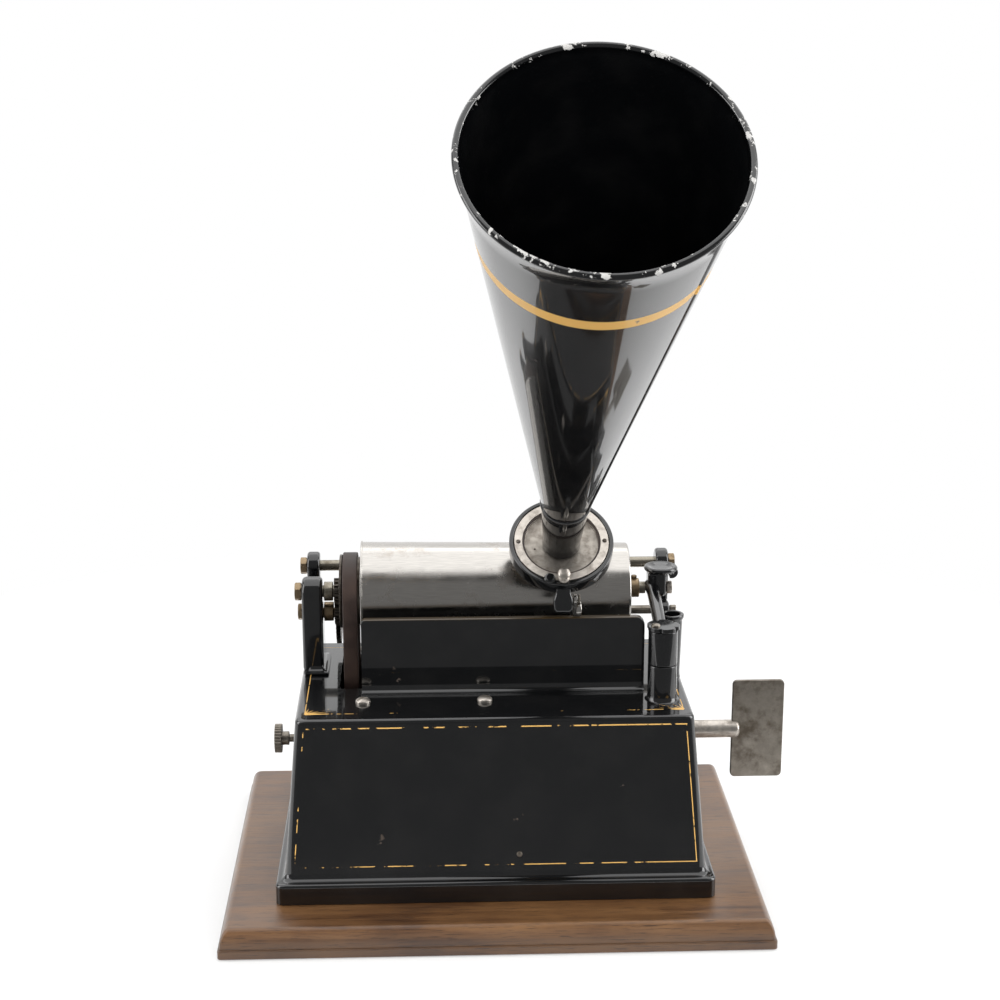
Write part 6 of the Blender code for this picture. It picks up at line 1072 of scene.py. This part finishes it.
finishPiece("gateArm", gridMesh("gateArm", gateArmRows(), caps=True), enamel, "gate")
finishPiece("gateBlock", boxMesh("gateBlock", gate["blockLow"], gate["blockHigh"]), enamel,
            "gate", (), 40, gate["blockRound"])
half = thumb["thick"] / 2
profile = [(0, 0), (thumb["radius"] - half, 0)]
profile += [(thumb["radius"] - grow(half, a), half + half * math.sin(a))
            for a in np.radians(np.linspace(-80, 80, 12))]
profile += [(thumb["radius"] * wide, thumb["thick"] - thumb["depth"] * deep)
            for wide, deep in thumb["dish"]]
turned("thumbPiece", profile, (thumb["x"], spindle.y, thumb["z"]), alongZ, enamel, "gate",
       soft=0.0002)
curl = gate["curl"]
centre = (thumb["x"] + thumb["radius"] - curl, thumb["z"] + thumb["thick"] - curl)
outline = (arcPoints(*centre, curl, 90, -110, 32)
           + arcPoints(*centre, curl - gate["curlWall"], -110, 90, 24))
mesh = outlineMesh("thumbCurl", outline, spindle.y - gate["curlWide"] / 2,
                   spindle.y + gate["curlWide"] / 2, "Y")
finishPiece("thumbCurl", mesh, enamel, "gate", (), 30, gate["curlRound"])


def ripple(radius, centreA, centreB, steps):
    # Outline round a centre whose radius depends on the angle
    return [(centreA + radius(angle) * math.cos(angle), centreB + radius(angle) * math.sin(angle))
            for angle in np.linspace(0, math.tau, steps, endpoint=False)]


# Lobed cap on the hinge with a round-headed screw, and the centre pin in the block
cap = {"radius": 0.0074, "notch": 0.0016, "lobes": 5, "low": 0.1287, "high": 0.1307,
       "round": 0.0005}
outline = ripple(lambda angle: cap["radius"] - cap["notch"]
                 * (1 - abs(math.cos(cap["lobes"] * angle / 2))) ** 3, hinge.x, hinge.y, 160)
finishPiece("hingeCap", outlineMesh("hingeCap", outline, cap["low"], cap["high"], "Z"), enamel,
            "gate", ["gate_hinge_cap"], bevel=cap["round"])


def domeScrewMesh(name, size, degrees, place):
    # An oval head whose rim stands at 0.22 of its height, slotted and turned
    radius, height = size["radius"], size["height"]
    profile = [(0, -gap), (radius, -gap)]
    profile += [(radius * math.cos(a), height * (0.22 + 0.78 * math.sin(a))) for a in quarter(12)]
    mesh = turnedMesh(name, profile, (0, 0, 0), alongZ, 64, 0)
    mesh = slotted(mesh, radius, size["slot"] / 2, height - size["depth"], height + gap)
    moved(mesh, Matrix.Rotation(math.radians(degrees), 4, "Z"))
    return moved(mesh, Matrix.Translation(place))


capScrew = {"radius": 0.0021, "height": 0.0014, "slot": 0.0005, "depth": 0.0006}
finishPiece("capScrew", domeScrewMesh("capScrew", capScrew, 25, (0.0727, -0.0327, cap["high"])),
            agedNickel, "gate", (), 35, 0.00005)
# profile: (radius, place along X)
centrePin = ((0, 0.0724), (0.0020, 0.0744), (0.0022, 0.0747), (0.0022, 0.0831),
             (0.0030, 0.0831), (0.0030, 0.0857), (0, 0.0857))
turned("centrePin", centrePin, spindle, alongX, rubbedNickel, "gate", ["gate_centre_pin"],
       steps=96)
print("gate")

# Screws in the deck and the rivet in the front
deckScrew = {"radius": 0.0034, "height": 0.0021, "slot": 0.0008, "depth": 0.0009,
             "places": ((-0.0592, -0.0305), (-0.0592, 0.041), (-0.0041, -0.0305),
                        (-0.0041, 0.041))}
for i, place in enumerate(deckScrew["places"]):
    mesh = domeScrewMesh("deckScrew", deckScrew, 35 + 70 * i, (*place, deckTop + gap))
    finishPiece("deckScrew", mesh, rubbedNickel, "stand", [f"deck_screw_{i + 1}"], 35, 0.00006)
rivet = {"radius": 0.0013, "height": 0.0006, "sunk": 0.0001}
low, high = box("front_rivet")
lean = math.atan2(case["footY"] - case["flare"] - case["deckY"], case["height"])
profile = [(0, -gap), (rivet["radius"], -gap)]
profile += [(rivet["radius"] * math.cos(a), rivet["height"] * math.sin(a)) for a in quarter()]
mesh = turnedMesh("frontRivet", profile, (0, 0, 0), alongZ, coarse, 0)
middle = (low + high) / 2
place = Matrix.Translation((middle.x, -bodyHalf(middle.z)[1] - rivet["sunk"], middle.z))
moved(mesh, place @ Matrix.Rotation(math.radians(90) - lean, 4, "X"))
finishPiece("frontRivet", mesh, agedNickel, "stand", ["front_rivet"])
print("deck screws")

# Winding key: a turned stem with a domed end and a thin plate with rounded corners
keyAxis = jointLine("key_turn")
key = {"left": 0.0560, "right": 0.1175, "radius": 0.0042, "bore": 0.0033, "dome": 0.0021,
       "plateLeft": 0.1138, "plateRight": 0.1383, "plateHalf": 0.0243, "plateThick": 0.0020,
       "corner": 0.0022, "plateRound": 0.0004}
profile = [(key["bore"], key["left"]), (key["radius"], key["left"])]
profile += [(key["radius"] - grow(key["dome"], a), key["right"] - fade(key["dome"], a))
            for a in quarter(10)]
profile += [(0, key["right"])]
turned("keyStem", profile, keyAxis, alongX, rubbedNickel, "winding", ["winding_key"])
loop = levelLoop((key["plateRight"] - key["plateLeft"]) / 2, key["plateHalf"], key["corner"], 0,
                 ((key["plateLeft"] + key["plateRight"]) / 2, keyAxis.z))
mesh = outlineMesh("keyPlate", [point[:2] for point in loop], keyAxis.y - key["plateThick"] / 2,
                   keyAxis.y + key["plateThick"] / 2, "Y")
finishPiece("keyPlate", mesh, agedNickel, "winding", (), 40, key["plateRound"], True)
print("key")

# Speed screw: knurled knob, neck and shank
speedAxis = jointLine("speed_turn")
knob = {"left": -0.1012, "right": -0.0979, "radius": 0.0067, "knurls": 28, "depth": 0.00045,
        "round": 0.0003}
outline = ripple(lambda angle: knob["radius"] - knob["depth"]
                 * (0.5 - 0.5 * math.cos(knob["knurls"] * angle)) ** 2,
                 *speedAxis.yz, knob["knurls"] * 10)
finishPiece("speedKnob", outlineMesh("speedKnob", outline, knob["left"], knob["right"]),
            agedNickel, "speed", ["speed_screw"], bevel=knob["round"])
# profile: (radius, place along X)
shank = ((0, -0.1015), (0.0030, -0.1015), (0.0032, -0.0946), (0.0018, -0.0946),
         (0.0018, -0.0549), (0, -0.0549))
turned("speedShank", shank, speedAxis, alongX, agedNickel, "speed", steps=96)
print("speed screw")

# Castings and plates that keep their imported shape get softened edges
softened = {"feed_arm": 0.0002, "motor_plate_left": 0.0003, "motor_plate_right": 0.0003,
            "mandrel_gear": 0.00012, "idler_gear": 0.00012, "feed_gear": 0.00015}
for node, width in softened.items():
    softEdges(frame["nodes"][node], width, 32)
print("softened nodes")

# Studio: a white sweep that runs from under the object up behind it, soft lamps above and to
# both sides, and a dim room in front
sweep = {"front": -0.17, "bend": 1.10, "radius": 0.55, "top": 2.4, "half": 2.6, "thick": 0.004,
         "level": 0.0003, "litFrom": 0.16, "litTo": 0.50}


def sweepMesh():
    # Straight floor, a quarter circle of the bend's radius, then straight up
    line = [(sweep["front"], 0), (sweep["bend"], 0)]
    line += [(sweep["bend"] + sweep["radius"] * math.sin(a), grow(sweep["radius"], a))
             for a in quarter(24)[1:]]
    line += [(sweep["bend"] + sweep["radius"], sweep["top"])]
    under = [(y + sweep["thick"], z - sweep["thick"]) for y, z in reversed(line)]
    outline = [(y, z - sweep["level"]) for y, z in line + under]
    return outlineMesh("studioSweep", outline, -sweep["half"], sweep["half"])


def sweepMaterial():
    # White by its own colour and lit like the object near it; where rays leave the lit
    # patch, the paper is shown at the same white
    material, shader = startMaterial("whitePaper", (0.94, 0.94, 0.94), 0.9)
    away = objectCoords(material).vector("DISTANCE", (0, 0.05, 0), "Value")
    rays = addNode(material, "ShaderNodeLightPath").outputs
    straight, mirrored, through = (Signal(material, rays[f"Is {kind} Ray"])
                                   for kind in ("Camera", "Glossy", "Transmission"))
    share = away.mapped(sweep["litFrom"], sweep["litTo"], 0.35, 1.0)
    paper = Signal(material, shader.outputs[0])
    white = Signal(material, addNode(material, "ShaderNodeEmission",
                                     {"Strength": 1.0}).outputs[0])
    seen = straight.orMore(mirrored).orMore(through)
    output = [node for node in material.node_tree.nodes if node.type == "OUTPUT_MATERIAL"][0]
    paper.through("ShaderNodeMixShader", {0: share * seen, 1: paper, 2: white}).to(output,
                                                                                 "Surface")
    return material


mesh = sweepMesh()
mesh.materials.append(sweepMaterial())
mesh.shade_flat()
studioSweep = inScene("studioSweep", mesh)


def areaLamp(name, place, target, sizeX, sizeY, power):
    lamp = bpy.data.lights.new(name, "AREA")
    lamp.shape = "RECTANGLE"
    lamp.size, lamp.size_y = sizeX, sizeY
    lamp.energy = power
    thing = inScene(name, lamp)
    thing.location = place
    thing.rotation_euler = (Vector(target) - Vector(place)).to_track_quat("-Z", "Y").to_euler()
    return thing


lamps = [areaLamp("topLamp", (0.0, 0.25, 1.6), (0, 0, 0.1), 3.1, 2.4, 32),
         areaLamp("leftLamp", (-1.35, -0.15, 0.60), (0, 0, 0.15), 0.7, 1.2, 9),
         areaLamp("rightLamp", (1.25, -0.05, 0.50), (0, 0, 0.15), 0.7, 1.2, 12),
         areaLamp("frontFill", (0.1, -1.5, 0.50), (0, 0, 0.15), 1.2, 1.0, 17)]
# The fill only lifts the shadows: the dark gloss in front isn't to show it
lamps[3].visible_glossy = False
world = bpy.data.worlds.new("dimRoom")
bpy.context.scene.world = world
world.use_nodes = True
background = world.node_tree.nodes["Background"]
background.inputs["Color"].default_value = (1, 1, 1, 1)
background.inputs["Strength"].default_value = 0.20

# Camera fitted to the photograph's straight edges
camera = bpy.data.cameras.new("photoCamera")
camera.sensor_width = 36
camera.lens = 69.44
camera.clip_start = 0.01
cameraObject = inScene("photoCamera", camera)
cameraObject.location = (-0.02925, -0.84994, 0.41312)
cameraObject.rotation_euler = (math.pi / 2 - 0.2661, 0, -0.0391)
bpy.context.scene.camera = cameraObject
bpy.context.scene.view_settings.view_transform = "Standard"
